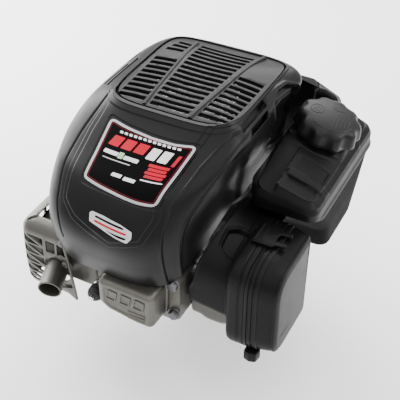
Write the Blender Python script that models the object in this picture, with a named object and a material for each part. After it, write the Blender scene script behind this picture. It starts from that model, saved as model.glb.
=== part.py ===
"""Small single-cylinder gasoline engine with a vertical crankshaft, built as separate closed solids.

Lengths below are millimetres. +Z is up along the crankshaft, the mounting flange is the plane z = 0,
the cylinder points to -Y, the muffler is at -X, the fuel tank and air cleaner are at +X.
"""

from math import atan2, cos, pi, radians, sin

import bmesh
import bpy
from mathutils import Matrix, Vector

MM = 0.001
GAP = 0.4  # running gap kept between neighbouring pieces

# Cylinder and crank mechanism
BORE_R = 34.15
CRANK_R = 22.25
ROD_LENGTH = 75.0
CYLINDER_Z = 74.0
WRIST_PIN_Y = -(CRANK_R + ROD_LENGTH)
DECK_Y = -117.0
HEAD_FRONT_Y = -158.0
HEAD_X = (-48.0, 63.0)
PORT_Y = -131.0
VALVE_COVER_FRONT_Y = -193.0
WEB_R = 37.4
CRANKPIN_R = 13.0
ROD_HALF = 6.0
JOURNAL_R = 12.4
TIMING_SEAT_R = 11.0
PTO_R = 11.1
PTO_LENGTH = 80.0

# Valve train
VALVE_Z = (63.0, 88.0)
PUSHROD_X = 41.5
CAM_XY = (41.5, 30.67)
GEAR_MODULE = 2.8667
CRANK_TEETH = 12
CAM_TEETH = 24
GEAR_Z = (36.0, 44.0)
ROCKER_X = 21.0
ROCKER_Y = -178.0

# Sump and crankcase
CASE_CENTRE = (10.0, 8.0)
CASE_HALF = (77.0, 71.0)
CASE_WALL = 5.0
CASE_SQUARENESS = 3.5
CASE_COUNT = 28
SUMP_TOP = 34.0
CASE_TOP = 112.0
MOUNT_BOLT_CIRCLE_R = 82.5
MOUNT_HOLE_R = 4.8
MOUNT_LUG_R = 13.0
FLANGE_R = 86.0
FLANGE_T = 12.0
FLANGE_COUNT = 36

# Flywheel and starter
FLYWHEEL_R = 76.0
FAN_R = 73.0
FAN_BLADES = 12

# Blower housing: one row per level from the grille rim down to the lower edge
# (left x, right x, front y, rear y, z at front, z at left, z at right, z at rear, squareness)
HOUSING_LEVELS = (
    (-81, 79, -70, 110, 262, 259, 258, 250, 5.0),
    (-97, 88, -94, 121, 247, 254, 252, 246, 4.0),
    (-112, 93, -132, 130, 232, 244, 242, 237, 3.3),
    (-119, 93, -170, 136, 217, 228, 225, 220, 2.8),
    (-122, 91, -192, 138, 189, 204, 208, 200, 2.6),
    (-122, 88, -201, 139, 166, 180, 190, 175, 2.5),
    (-121, 86, -196, 138, 135, 158, 170, 150, 2.6),
    (-118, 84, -186, 137, 103, 138, 152, 125, 2.8),
)
HOUSING_WALL = 2.4
RIGHT_SQUARENESS = (0, 0, 0, 0.1, 0.3, 0.5, 0.6,
                    0.6)  # added at the front right corner, which is tighter
REAR_SQUARENESS = (0, 0, 0, 0.2, 0.8, 1.6, 1.8,
                   1.8)  # the same at the rear right corner, beside the tank
LEFT_SQUARENESS = (0, 0, 0, 0.1, 0.35, 0.6, 0.9, 1.0)  # the same at the front left corner
HUMP_HEIGHTS = (4, 13, 20, 18, 9, 2, 0, 0)
HUMP_ANGLE = radians(42)
HUMP_WIDTH = radians(24)
CAP_CLEARANCE_R = 47.0

# Fuel tank and cap
CAP_ORIGIN = Vector((136.5, 78.0, 186.0))
CAP_TILT = radians(15)
CAP_AXIS = Vector((sin(CAP_TILT), 0, cos(CAP_TILT)))
CAP_R = 41.0
CAP_LOBES = 10
TANK_SLOPE_X = 127.0
TANK_WALL = 2.5

# Air cleaner: D-shaped box seen along X
AIR_Y = (-147.0, -43.0)
AIR_Z = (9.0, 141.0)
AIR_X = (116.4, 137.2, 177.0)
INTAKE_YZ = (-107.0, 74.0)

# Muffler
MUFFLER_X = (-151.0, -98.0)
MUFFLER_Y = (-150.0, -74.0)
MUFFLER_Z = (24.0, 98.0)
OUTLET_START = Vector((-108.0, -150.0, 56.0))
OUTLET_END = Vector((-96.0, -190.0, 49.0))
OUTLET_R = 15.0

for item in list(bpy.data.objects):
    bpy.data.objects.remove(item, do_unlink=True)


def material(name, colour, roughness, metallic):
    made = bpy.data.materials.new(name)
    made.use_nodes = True
    shader = made.node_tree.nodes["Principled BSDF"]
    shader.inputs["Base Color"].default_value = (*colour, 1)
    shader.inputs["Roughness"].default_value = roughness
    shader.inputs["Metallic"].default_value = metallic
    made.diffuse_color = (*colour, 1)
    return made


FINISHES = {
    "black_plastic": ((0.022, 0.022, 0.024), 0.42, 0.0),
    "dark_plastic": ((0.03, 0.03, 0.032), 0.5, 0.0),
    "grey_casting": ((0.24, 0.23, 0.21), 0.5, 0.6),
    "aluminium": ((0.55, 0.55, 0.54), 0.4, 1.0),
    "steel": ((0.5, 0.49, 0.47), 0.32, 1.0),
    "cast_iron": ((0.16, 0.16, 0.17), 0.55, 0.8),
    "rubber": ((0.02, 0.02, 0.02), 0.7, 0.0),
    "gasket": ((0.12, 0.12, 0.11), 0.8, 0.0),
    "label": ((0.012, 0.01, 0.012), 0.25, 0.0),
    "badge": ((0.62, 0.62, 0.63), 0.25, 0.9),
    "paper": ((0.62, 0.5, 0.3), 0.9, 0.0),
    "ceramic": ((0.85, 0.84, 0.8), 0.25, 0.0),
}


def finish(node, name):
    colour, roughness, metallic = FINISHES[name]
    node.data.materials.append(material(f"{node.name}_{name}", colour, roughness, metallic))


def add(name, bm, look, pivot=(0, 0, 0), sharp=32):
    """Mesh in millimetres to a named object whose origin is the pivot."""
    bmesh.ops.recalc_face_normals(bm, faces=bm.faces)
    centre = Vector(pivot)
    for vertex in bm.verts:
        vertex.co = (vertex.co - centre) * MM
    mesh = bpy.data.meshes.new(name)
    bm.to_mesh(mesh)
    bm.free()
    mesh.polygons.foreach_set("use_smooth", [True] * len(mesh.polygons))
    mesh.set_sharp_from_angle(angle=radians(sharp))
    node = bpy.data.objects.new(name, mesh)
    node.location = centre * MM
    bpy.context.scene.collection.objects.link(node)
    if look:
        finish(node, look)
    return node


def skin(rings, loop=False, caps=(True, True), bm=None):
    """Rings of equal length joined by quads; loop joins the last ring to the first."""
    bm = bm or bmesh.new()
    rows = [[bm.verts.new(point) for point in ring] for ring in rings]
    count = len(rows[0])
    pairs = list(zip(rows, rows[1:]))
    if loop:
        pairs.append((rows[-1], rows[0]))
    for low, high in pairs:
        for i in range(count):
            j = (i + 1) % count
            bm.faces.new((low[i], low[j], high[j], high[i]))
    if not loop:
        if caps[0]:
            bm.faces.new(rows[0][::-1])
        if caps[1]:
            bm.faces.new(rows[-1])
    return bm


def aim(origin, axis):
    """Matrix whose local +Z is the axis and whose origin is the point."""
    turn = Vector(axis).normalized().to_track_quat("Z", "Y").to_matrix().to_4x4()
    return Matrix.Translation(Vector(origin)) @ turn


def circle(radius, height, count=18, centre=(0, 0), matrix=None):
    points = []
    for i in range(count):
        turn = 2 * pi * i / count
        points.append(Vector((centre[0] + radius * cos(turn), centre[1] + radius * sin(turn), height)))
    return [matrix @ p for p in points] if matrix else points


def turned(name, profile, look, origin=(0, 0, 0), axis=(0, 0, 1), count=16, loop=False, pivot=None):
    """Solid of revolution: profile is (radius, height) along the axis; loop makes a ring with a bore."""
    matrix = aim(origin, axis)
    rings = [circle(radius, height, count, matrix=matrix) for radius, height in profile]
    return add(name, skin(rings, loop=loop), look, pivot if pivot is not None else origin)


def hex_ring(flat, height, count):
    """Hexagon of this half width across flats, as count points."""
    points = []
    for i in range(count):
        turn = 2 * pi * i / count
        off = (turn + pi / 6) % (pi / 3) - pi / 6
        radius = flat / cos(off)
        points.append(Vector((radius * cos(turn), radius * sin(turn), height)))
    return points


def squircle(left, right, front, rear, squareness, height, count=40):
    points = []
    for i in range(count):
        turn = 2 * pi * i / count
        c, s = cos(turn), sin(turn)
        x = (left + right) / 2 + (right - left) / 2 * abs(c) ** (2 / squareness) * (1 if c > 0 else -1)
        y = (front + rear) / 2 + (rear - front) / 2 * abs(s) ** (2 / squareness) * (1 if s > 0 else -1)
        points.append(Vector((x, y, height)))
    return points


def rounded(corners, radii, steps=3):
    """2-D outline with filleted corners."""
    out = []
    total = len(corners)
    for i, corner in enumerate(corners):
        here = Vector(corner)
        before = (Vector(corners[i - 1]) - here).normalized()
        after = (Vector(corners[(i + 1) % total]) - here).normalized()
        radius = radii[i] if isinstance(radii, (list, tuple)) else radii
        half = before.angle(after) / 2
        reach = radius / max(abs(sin(half) / max(cos(half), 1e-6)), 1e-6)
        first, last = here + before * reach, here + after * reach
        for k in range(steps + 1):
            t = k / steps
            out.append(first * (1 - t) ** 2 + here * 2 * t * (1 - t) + last * t * t)
    return out


def resampled(outline, count):
    """The outline as this many points, evenly spaced along it."""
    lengths = [0.0]
    total = len(outline)
    for i in range(total):
        lengths.append(lengths[-1] + (outline[(i + 1) % total] - outline[i]).length)
    out = []
    segment = 0
    for k in range(count):
        target = lengths[-1] * k / count
        while lengths[segment + 1] < target:
            segment += 1
        t = (target - lengths[segment]) / max(lengths[segment + 1] - lengths[segment], 1e-9)
        out.append(outline[segment].lerp(outline[(segment + 1) % total], t))
    return out


def inset(outline, distance):
    """2-D outline moved inwards, for outlines listed counter-clockwise."""
    out = []
    total = len(outline)
    for i, here in enumerate(outline):
        along = outline[(i + 1) % total] - outline[i - 1]
        normal = Vector((-along.y, along.x)).normalized()
        out.append(here + normal * distance)
    return out


def lifted(outline, plane, value):
    """2-D outline placed in a plane: XY at z, XZ at y or YZ at x."""
    if plane == "XY":
        return [Vector((p.x, p.y, value)) for p in outline]
    if plane == "XZ":
        return [Vector((p.x, value, p.y)) for p in outline]
    return [Vector((value, p.x, p.y)) for p in outline]


def prism(name, outline, plane, start, end, look, pivot=(0, 0, 0), bevel=0.0):
    flat = [Vector(p) for p in outline]
    node = add(name, skin([lifted(flat, plane, start), lifted(flat, plane, end)]), look, pivot)
    if bevel:
        edge = node.modifiers.new("edge_round", "BEVEL")
        edge.width = bevel * MM
        edge.segments = 2
        edge.angle_limit = radians(40)
    return node


def block(name, x, y, z, look, pivot=(0, 0, 0), bevel=0.0):
    return prism(name, [(x[0], y[0]), (x[1], y[0]), (x[1], y[1]), (x[0], y[1])], "XY", z[0], z[1], look,
                 pivot, bevel)


def rods_mesh(rods, count=16):
    """Several separate cylinders in one mesh: (start, end, radius)."""
    bm = bmesh.new()
    for start, end, radius in rods:
        span = Vector(end) - Vector(start)
        matrix = aim(start, span)
        skin([circle(radius, 0, count, matrix=matrix),
              circle(radius, span.length, count, matrix=matrix)], bm=bm)
    return bm


def tool(name, bm):
    """Hidden helper solid used by a Boolean."""
    node = add(name, bm, None)
    node.hide_render = True
    node.display_type = "WIRE"
    return node


def boolean(node, other, operation):
    step = node.modifiers.new(f"{operation.lower()}_{other.name}", "BOOLEAN")
    step.operation = operation
    step.solver = "EXACT"
    step.object = other
    other.hide_render = True
    other.display_type = "WIRE"


def thicken(node, thickness, offset=-1.0):
    wall = node.modifiers.new("wall", "SOLIDIFY")
    wall.thickness = thickness * MM
    wall.offset = offset
    wall.use_even_offset = True


def grid_mesh(rows):
    """Open sheet through rows of points."""
    bm = bmesh.new()
    made = [[bm.verts.new(point) for point in row] for row in rows]
    for low, high in zip(made, made[1:]):
        for i in range(len(low) - 1):
            bm.faces.new((low[i], low[i + 1], high[i + 1], high[i]))
    return bm


def sandwich(under_rows, over_rows):
    """Closed plate between two sheets of points with the same layout."""
    bm = bmesh.new()
    under = [[bm.verts.new(p) for p in row] for row in under_rows]
    over = [[bm.verts.new(p) for p in row] for row in over_rows]
    for sheet in (under, over):
        for low, high in zip(sheet, sheet[1:]):
            for i in range(len(low) - 1):
                bm.faces.new((low[i], low[i + 1], high[i + 1], high[i]))
    rim_low = under[0] + [r[-1] for r in under[1:]] + under[-1][-2::-1] + [r[0] for r in under[-2:0:-1]]
    rim_high = over[0] + [r[-1] for r in over[1:]] + over[-1][-2::-1] + [r[0] for r in over[-2:0:-1]]
    for i, _ in enumerate(rim_low):
        j = (i + 1) % len(rim_low)
        bm.faces.new((rim_low[i], rim_low[j], rim_high[j], rim_high[i]))
    return bm


def gear(name, centre, teeth, bore, heights, phase, look):
    """Spur gear with a bore and straight-flanked teeth."""
    pitch = GEAR_MODULE * teeth / 2
    root, tip = pitch - 1.1 * GEAR_MODULE, pitch + 0.75 * GEAR_MODULE
    outer, inner = [], []
    step = 2 * pi / teeth
    for i in range(teeth):
        middle = phase + i * step
        for offset, radius in ((-0.32, root), (-0.13, tip), (0.13, tip), (0.32, root)):
            turn = middle + offset * step
            outer.append((centre[0] + radius * cos(turn), centre[1] + radius * sin(turn)))
            inner.append((centre[0] + bore * cos(turn), centre[1] + bore * sin(turn)))
    rings = [[Vector((x, y, z)) for x, y in ring] for ring, z in (
        (inner, heights[0]), (outer, heights[0]), (outer, heights[1]), (inner, heights[1]))]
    return add(name, skin(rings, loop=True), look, (centre[0], centre[1], heights[0]))


def coil(name, start, axis, radius, wire, length, turns, look, per_turn=9, sides=4):
    """Helical spring with a round wire."""
    matrix = aim(start, axis)
    rings = []
    steps = int(turns * per_turn)
    for i in range(steps + 1):
        turn = 2 * pi * i / per_turn
        height = wire + (length - 2 * wire) * i / steps
        out = Vector((cos(turn), sin(turn), 0))
        middle = out * radius + Vector((0, 0, height))
        rings.append([matrix @ (middle + out * (wire * cos(a)) + Vector((0, 0, wire * sin(a))))
                      for a in (2 * pi * k / sides for k in range(sides))])
    return add(name, skin(rings), look, start)


def smooth_between(rows, position):
    """Catmull-Rom value between number rows at a fractional index."""
    last = len(rows) - 1
    i = min(int(position), last - 1)
    t = position - i
    picks = [rows[min(max(k, 0), last)] for k in (i - 1, i, i + 1, i + 2)]
    return [0.5 * (2 * b + (c - a) * t + (2 * a - 5 * b + 4 * c - d) * t * t
                   + (3 * b - a - 3 * c + d) * t ** 3)
            for a, b, c, d in zip(*picks)]


def clear_of_cap(point):
    """Points of the housing next to the fuel cap, moved out of the finger space round it."""
    along = (point - CAP_ORIGIN).dot(CAP_AXIS)
    away = point - (CAP_ORIGIN + CAP_AXIS * along)
    if point.z > 185 and away.length < CAP_CLEARANCE_R:
        return point + away.normalized() * (CAP_CLEARANCE_R - away.length)
    return point


def housing_point(turn, level):
    """Point of the blower housing's outer surface at a direction and a level."""
    left, right, front, rear, z_front, z_left, z_right, z_rear, squareness = smooth_between(HOUSING_LEVELS, level)
    hump, tight_right, tight_rear, tight_left = smooth_between(
        list(zip(HUMP_HEIGHTS, RIGHT_SQUARENESS, REAR_SQUARENESS, LEFT_SQUARENESS)), level)
    c, s = cos(turn), sin(turn)
    if c > 0:
        squareness += tight_rear if s > 0 else tight_right
    elif s < 0:
        squareness += tight_left
    away = abs((turn - HUMP_ANGLE + pi) % (2 * pi) - pi) / HUMP_WIDTH
    bulge = 1 + hump * 2.718 ** (-away * away) / 100
    x = (left + right) / 2 + (right - left) / 2 * abs(c) ** (2 / squareness) * (1 if c > 0
                                                                                else -1) * bulge
    y = (front + rear) / 2 + (rear - front) / 2 * abs(s) ** (2 / squareness) * (1 if s > 0 else -1)
    side, end = (z_right if c > 0 else z_left), (z_rear if s > 0 else z_front)
    share = c ** 6 if c > 0 > s else c * c
    return clear_of_cap(Vector((x, y, side * share + end * (1 - share))))


# Crankcase with its finned cylinder
case_left, case_right = CASE_CENTRE[0] - CASE_HALF[0], CASE_CENTRE[0] + CASE_HALF[0]
case_front, case_rear = CASE_CENTRE[1] - CASE_HALF[1], CASE_CENTRE[1] + CASE_HALF[1]


def case_ring(shrink, height):
    return squircle(case_left + shrink, case_right - shrink, case_front + shrink, case_rear - shrink,
                    CASE_SQUARENESS, height, CASE_COUNT)


case_bottom = SUMP_TOP + GAP
crankcase = add("crankcase", skin([
    case_ring(0, case_bottom), case_ring(0, CASE_TOP - 6), case_ring(5, CASE_TOP),
    circle(21, CASE_TOP, CASE_COUNT), circle(20, CASE_TOP + 11, CASE_COUNT),
    circle(JOURNAL_R + 0.2, CASE_TOP + 11, CASE_COUNT), circle(JOURNAL_R + 0.2, 101, CASE_COUNT),
    circle(20, 101, CASE_COUNT), circle(21, CASE_TOP - CASE_WALL - 1, CASE_COUNT),
    case_ring(CASE_WALL, CASE_TOP - CASE_WALL - 1), case_ring(CASE_WALL, case_bottom),
], loop=True), "grey_casting")

fin_profile = [(40, 56)]
for index in range(4):
    at = 68 + index * 12
    fin_profile += [(40, at), (50, at + 0.2), (50, at + 2.4), (40, at + 2.8)]
fin_profile += [(40, 114), (46, 114.4), (46, -DECK_Y)]
barrel = tool("barrel_form", skin([circle(r, h, 20, matrix=aim((0, 0, CYLINDER_Z), (0, -1, 0)))
                                   for r, h in fin_profile]))
tunnel_boss = block("tunnel_boss_form", (30, 52), (DECK_Y, -57), (48, 100), None)
HEAD_BOLTS = ((-41.0, 98.0), (56.6, 98.0), (56.6, 52.0), (-30.0, 46.0))
bolt_bosses = tool("bolt_boss_form", rods_mesh([((x, -98, z), (x, DECK_Y, z), 7.5) for x,
                                                z in HEAD_BOLTS], 12))
case_cuts = tool("case_cuts", rods_mesh(
    [((0, -40, CYLINDER_Z), (0, DECK_Y - 1, CYLINDER_Z), BORE_R + 0.15)], 24))
tunnels = tool("tunnel_cuts", rods_mesh(
    [((PUSHROD_X, -45, z), (PUSHROD_X, DECK_Y - 1, z), 5.6) for z in VALVE_Z]
    + [((x, -101, z), (x, DECK_Y - 1, z), 4.5) for x, z in HEAD_BOLTS], 12))
for helper in (barrel, tunnel_boss, bolt_bosses):
    boolean(crankcase, helper, "UNION")
for helper in (case_cuts, tunnels):
    boolean(crankcase, helper, "DIFFERENCE")

# Sump with the mounting flange and three bolt lugs


def flange_ring(height, grow=0.0):
    """Round flange outline that swells into a lug at each of the three bolts."""
    points = []
    for i in range(FLANGE_COUNT):
        turn = 2 * pi * i / FLANGE_COUNT
        radius = FLANGE_R + grow
        for lug in range(3):
            off = (turn - radians(90 + 120 * lug) + pi) % (2 * pi) - pi
            side = MOUNT_BOLT_CIRCLE_R * sin(off)
            if abs(off) < 0.5 and abs(side) < MOUNT_LUG_R:
                reach = MOUNT_BOLT_CIRCLE_R * cos(off) + (MOUNT_LUG_R ** 2 - side ** 2) ** 0.5
                radius = max(radius, reach + grow)
        points.append(Vector((radius * cos(turn), radius * sin(turn), height)))
    return points


def case_ring_wide(shrink, height):
    return squircle(case_left + shrink, case_right - shrink, case_front + shrink, case_rear - shrink,
                    CASE_SQUARENESS, height, FLANGE_COUNT)


sump = add("sump", skin([
    flange_ring(0), flange_ring(FLANGE_T - 1.5), flange_ring(FLANGE_T, -1.5),
    squircle(-63, 82, -60, 73, 3.2, FLANGE_T, FLANGE_COUNT), case_ring_wide(2, 26),
                         case_ring_wide(0, 28), case_ring_wide(0, SUMP_TOP),
    case_ring_wide(CASE_WALL, SUMP_TOP), squircle(-58, 77, -55, 68, 3.2, 9, FLANGE_COUNT),
                         circle(21, 9, FLANGE_COUNT),
    circle(20, 30, FLANGE_COUNT), circle(JOURNAL_R + 0.2, 30, FLANGE_COUNT),
                         circle(JOURNAL_R + 0.2, 8.5, FLANGE_COUNT),
    circle(17.4, 8.5, FLANGE_COUNT), circle(17.4, 0, FLANGE_COUNT),
], loop=True), "grey_casting")
lug_holes = tool("lug_holes", rods_mesh([((MOUNT_BOLT_CIRCLE_R * cos(radians(90 + 120 * k)),
                                           MOUNT_BOLT_CIRCLE_R * sin(radians(90 + 120 * k)), -1),
                                          (MOUNT_BOLT_CIRCLE_R * cos(radians(90 + 120 * k)),
                                           MOUNT_BOLT_CIRCLE_R * sin(radians(90 + 120 * k)),
                                           FLANGE_T + 1),
                                          MOUNT_HOLE_R) for k in range(3)], 20))
boolean(sump, lug_holes, "DIFFERENCE")
turned("oil_seal", [(PTO_R + 0.3, 1), (17.1, 1), (17.1, 8.1), (14, 8.1), (13, 4), (PTO_R + 0.3, 4)],
       "rubber", count=18, loop=True)

# Crankshaft: PTO stub, journals, two round webs and the crankpin
PIN_CENTRE = (0, -CRANK_R)
crank_rings = [circle(PTO_R - 1, -PTO_LENGTH), circle(PTO_R, -PTO_LENGTH + 1), circle(PTO_R, 6),
               circle(JOURNAL_R, 9), circle(JOURNAL_R, 31), circle(TIMING_SEAT_R, 31.5),
               circle(TIMING_SEAT_R, 46), circle(18, 46),
               circle(18, 50), circle(WEB_R - 1, 50), circle(WEB_R, 51), circle(WEB_R, 63),
               circle(WEB_R - 1, 64),
               circle(CRANKPIN_R, 64, centre=PIN_CENTRE), circle(CRANKPIN_R, 84, centre=PIN_CENTRE),
               circle(WEB_R - 1, 84), circle(WEB_R, 85), circle(WEB_R, 95), circle(WEB_R - 1, 96),
               circle(16, 96),
               circle(16, 100), circle(JOURNAL_R, 100), circle(JOURNAL_R, 124), circle(10.8, 149.9),
               circle(7.9, 150.2), circle(7.9, 167), circle(6.9, 168)]
add("crankshaft", skin(crank_rings), "steel")
mesh_angle = atan2(CAM_XY[1], CAM_XY[0])
gear("timing_gear", (0, 0), CRANK_TEETH, TIMING_SEAT_R + GAP, GEAR_Z, mesh_angle, "cast_iron")
gear("cam_gear", CAM_XY, CAM_TEETH, 7.4, GEAR_Z, mesh_angle + pi + pi / CAM_TEETH, "dark_plastic")

# Connecting rod, its cap, and the piston group at top dead centre
big_end = CRANKPIN_R + 0.25
half_turn = [radians(180 + 180 * k / 12) for k in range(13)]
rod_outline = [(19 * cos(t), -CRANK_R + 19 * sin(t)) for t in half_turn[:5]]
rod_outline += [(-8, -CRANK_R - 24), (-6.5, WRIST_PIN_Y + 16), (-6.5, WRIST_PIN_Y + 12.6),
                (6.5, WRIST_PIN_Y + 12.6), (6.5, WRIST_PIN_Y + 16), (8, -CRANK_R - 24)]
rod_outline += [(19 * cos(t), -CRANK_R + 19 * sin(t)) for t in half_turn[8:]]
rod_outline += [(big_end * cos(t), -CRANK_R - 0.2 + big_end * sin(t)) for t in reversed(half_turn)]
prism("connecting_rod", rod_outline, "XY", CYLINDER_Z - ROD_HALF, CYLINDER_Z + ROD_HALF, "aluminium",
      (0, -CRANK_R, CYLINDER_Z))
cap_outline = [(19 * cos(t - pi), -CRANK_R + GAP + 17 * sin(t - pi)) for t in half_turn]
cap_outline += [(big_end * cos(t - pi), -CRANK_R + GAP + big_end * sin(t - pi))
                for t in reversed(half_turn)]
prism("rod_cap", cap_outline, "XY", CYLINDER_Z - ROD_HALF, CYLINDER_Z + ROD_HALF, "aluminium",
      (0, -CRANK_R, CYLINDER_Z))
towards_head = (0, -1, 0)
piston_base = -WRIST_PIN_Y - 20
piston = turned("piston", [
    (24, piston_base + 34), (30.5, piston_base + 31), (31, piston_base + 28), (31, piston_base),
    (33.6, piston_base), (33.7, piston_base + 31), (31.8, piston_base + 31.2),
                           (31.8, piston_base + 33.3),
    (33.7, piston_base + 33.5), (33.6, piston_base + 37.5), (33, piston_base + 38)],
    "aluminium", (0, 0, CYLINDER_Z), towards_head, 18, pivot=(0, WRIST_PIN_Y, CYLINDER_Z))
pin_hole = tool("pin_hole",
                rods_mesh([((0, WRIST_PIN_Y, CYLINDER_Z - 40), (0, WRIST_PIN_Y, CYLINDER_Z + 40), 7.7)],
                          20))
boolean(piston, pin_hole, "DIFFERENCE")
turned("wrist_pin", [(4.5, -28), (7.4, -28), (7.4, 28), (4.5, 28)], "steel",
       (0, WRIST_PIN_Y, CYLINDER_Z), count=14,
       loop=True)
turned("small_end_bush", [(7.7, -8), (12, -8), (12, 8), (7.7, 8)], "aluminium",
       (0, WRIST_PIN_Y, CYLINDER_Z), count=14,
       loop=True)

# Camshaft with two lobes


def lobe(height, nose_turn, count=18):
    points = []
    for i in range(count):
        turn = 2 * pi * i / count
        off = abs((turn - nose_turn + pi) % (2 * pi) - pi)
        radius = 8 + 3 * max(0, 1 - off / radians(65)) ** 0.8
        points.append(Vector((CAM_XY[0] + radius * cos(turn), CAM_XY[1] + radius * sin(turn), height)))
    return points


def cam_circle(radius, height):
    return circle(radius, height, 18, CAM_XY)


cam_rings = [cam_circle(6, 10), cam_circle(7, 11), cam_circle(7, 46), cam_circle(10, 46),
             cam_circle(10, 49)]
for valve_z, nose in zip(VALVE_Z, (radians(200), radians(310))):
    cam_rings += [cam_circle(6.8, valve_z - 4), lobe(valve_z - 4, nose), lobe(valve_z + 4, nose),
                  cam_circle(6.8, valve_z + 4)]
cam_rings += [cam_circle(7, 97), cam_circle(7, 104), cam_circle(6, 105)]
add("camshaft", skin(cam_rings), "cast_iron", (CAM_XY[0], CAM_XY[1], 46))

# Cylinder head: a block with vertical cooling fins above and below
head_outline = [(HEAD_X[1], 44), (HEAD_X[1], 99), (58, 105)]
for index in range(8):
    at = 56 - index * 13
    head_outline += [(at, 112), (at - 6, 112), (at - 6, 103), (at - 10, 103), (at - 10, 112)]
head_outline += [(HEAD_X[0], 108), (HEAD_X[0], 44), (-42, 38), (-20, 38), (-20, 43), (-15, 43),
                 (-15, 38), (-8, 38), (-8, 43),
                 (-3, 43), (-3, 38), (6, 38), (6, 43), (11, 43), (11, 38), (20, 38), (20, 43), (25, 43),
                 (25, 38),
                 (34, 38), (34, 43), (39, 43), (39, 38), (56, 38)]
head = prism("cylinder_head", head_outline, "XZ", HEAD_FRONT_Y, DECK_Y - 1.6, "grey_casting")
studs = tool("rocker_studs", rods_mesh([((ROCKER_X, HEAD_FRONT_Y + 6, z), (ROCKER_X, ROCKER_Y - 8, z), 3)
                                        for z in VALVE_Z], 12))
boolean(head, studs, "UNION")
chamber = tool("chamber_cut", rods_mesh([((0, DECK_Y, CYLINDER_Z), (0, DECK_Y - 8, CYLINDER_Z), 30)],
                                        24))
PLUG = Vector((-41.0, HEAD_FRONT_Y, 54.0))
head_holes = tool("head_holes", rods_mesh(
    [((0, DECK_Y - 6, z), (0, HEAD_FRONT_Y - 1, z), 3.1) for z in VALVE_Z]
    + [((PUSHROD_X, DECK_Y, z), (PUSHROD_X, HEAD_FRONT_Y - 1, z), 5.2) for z in VALVE_Z]
    + [((x, DECK_Y, z), (x, HEAD_FRONT_Y - 1, z), 4.5) for x, z in HEAD_BOLTS]
    + [((65, PORT_Y, CYLINDER_Z), (20, PORT_Y, CYLINDER_Z), 6.5),
       ((-50, -134, CYLINDER_Z), (-8, -134, CYLINDER_Z), 9)]
    + [(PLUG + Vector((0, 20, 0)), PLUG + Vector((0, -1, 0)), 5.2)], 14))
boolean(head, chamber, "DIFFERENCE")
boolean(head, head_holes, "DIFFERENCE")
gasket_outline = rounded([(-46, 39), (62, 39), (62, 108), (-46, 108)], 8)
gasket = prism("head_gasket", gasket_outline, "XZ", DECK_Y - 1.2, DECK_Y - 0.4, "gasket")
gasket_cuts = tool("gasket_cuts", rods_mesh(
    [((0, DECK_Y + 2, CYLINDER_Z), (0, DECK_Y - 3, CYLINDER_Z), 34)]
    + [((PUSHROD_X + 2, DECK_Y + 2, z), (PUSHROD_X + 2, DECK_Y - 3, z), 5.2) for z in VALVE_Z]
    + [((x, DECK_Y + 2, z), (x, DECK_Y - 3, z), 4.6) for x, z in HEAD_BOLTS], 14))
boolean(gasket, gasket_cuts, "DIFFERENCE")

# Valve cover: a cup with a flange, open to the head
cover_corners = [(-27, 100), (-27, 62), (-14, 53), (24, 47), (46.5, 47), (48, 99)]
cover_line = resampled(rounded(cover_corners, [10, 8, 8, 8, 9, 10]), 24)
rim_y = HEAD_FRONT_Y - GAP


def cover_ring(shrink, y):
    return lifted(inset(cover_line, shrink), "XZ", y)


add("valve_cover", skin([
    cover_ring(7, VALVE_COVER_FRONT_Y + 3), cover_ring(2.6, VALVE_COVER_FRONT_Y + 6),
                         cover_ring(2.6, rim_y),
    cover_ring(-1.5, rim_y), cover_ring(-1.5, rim_y - 4), cover_ring(0, rim_y - 4.5),
    cover_ring(0, VALVE_COVER_FRONT_Y + 6), cover_ring(1.6, VALVE_COVER_FRONT_Y + 2),
    cover_ring(5, VALVE_COVER_FRONT_Y)]), "grey_casting")

# Valves, springs, rockers, pushrods and tappets
for kind, valve_z in zip(("intake", "exhaust"), VALVE_Z):
    turned(f"{kind}_valve", [(11.4, 121.6), (12, 122.4), (11.4, 123.2), (2.75, 124.6), (2.75, 169),
                             (8.5, 169.2),
                             (8.5, 171), (2.75, 171.2), (2.75, 173.4)], "steel", (0, 0, valve_z),
           towards_head, 14,
           pivot=(0, -124, valve_z))
    coil(f"{kind}_valve_spring", (0, HEAD_FRONT_Y - GAP, valve_z), towards_head, 7, 1.1, 10.2, 4.5,
         "steel")
    rocker = prism(f"{kind}_rocker", [(-4, -173.9), (4, -173.9), (10, -175), (32, -175), (37, -173.9),
                                      (43, -173.9), (43, -175.6), (33, -181), (10, -181), (-4, -177)],
                   "XY", valve_z - 5, valve_z + 5, "steel", (ROCKER_X, ROCKER_Y, valve_z))
    stud_hole = tool(f"{kind}_rocker_hole", rods_mesh(
        [((ROCKER_X, -170, valve_z), (ROCKER_X, -186, valve_z), 4.2)], 16))
    boolean(rocker, stud_hole, "DIFFERENCE")
    turned(f"{kind}_pushrod", [(2, 20.4), (2.5, 21), (2.5, 173), (2, 173.5)], "steel",
           (PUSHROD_X, 0, valve_z),
           towards_head, 12, pivot=(PUSHROD_X, -100, valve_z))
    turned(f"{kind}_tappet", [(5.2, -19.2), (5.2, -16.2), (3.4, -15.8), (3.4, 20)], "steel",
           (PUSHROD_X, 0, valve_z),
           towards_head, 16, pivot=(PUSHROD_X, 0, valve_z))

# Head bolts beside the valve cover
for number, (x, z) in enumerate(HEAD_BOLTS[1:3], 1):
    matrix = aim((x, HEAD_FRONT_Y, z), towards_head)
    hexagon = [[matrix @ p for p in hex_ring(5.5, h, 12)] for h in (2.2, 8)]
    add(f"head_bolt_{number}",
        skin([circle(4, -56, 12, matrix=matrix), circle(4, GAP, 12, matrix=matrix),
                                     circle(7, GAP, 12, matrix=matrix),
              circle(7, 2.2, 12, matrix=matrix),
                                     *hexagon, circle(5, 8.6, 12, matrix=matrix)]), "steel",
        (x, HEAD_FRONT_Y, z))

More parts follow.
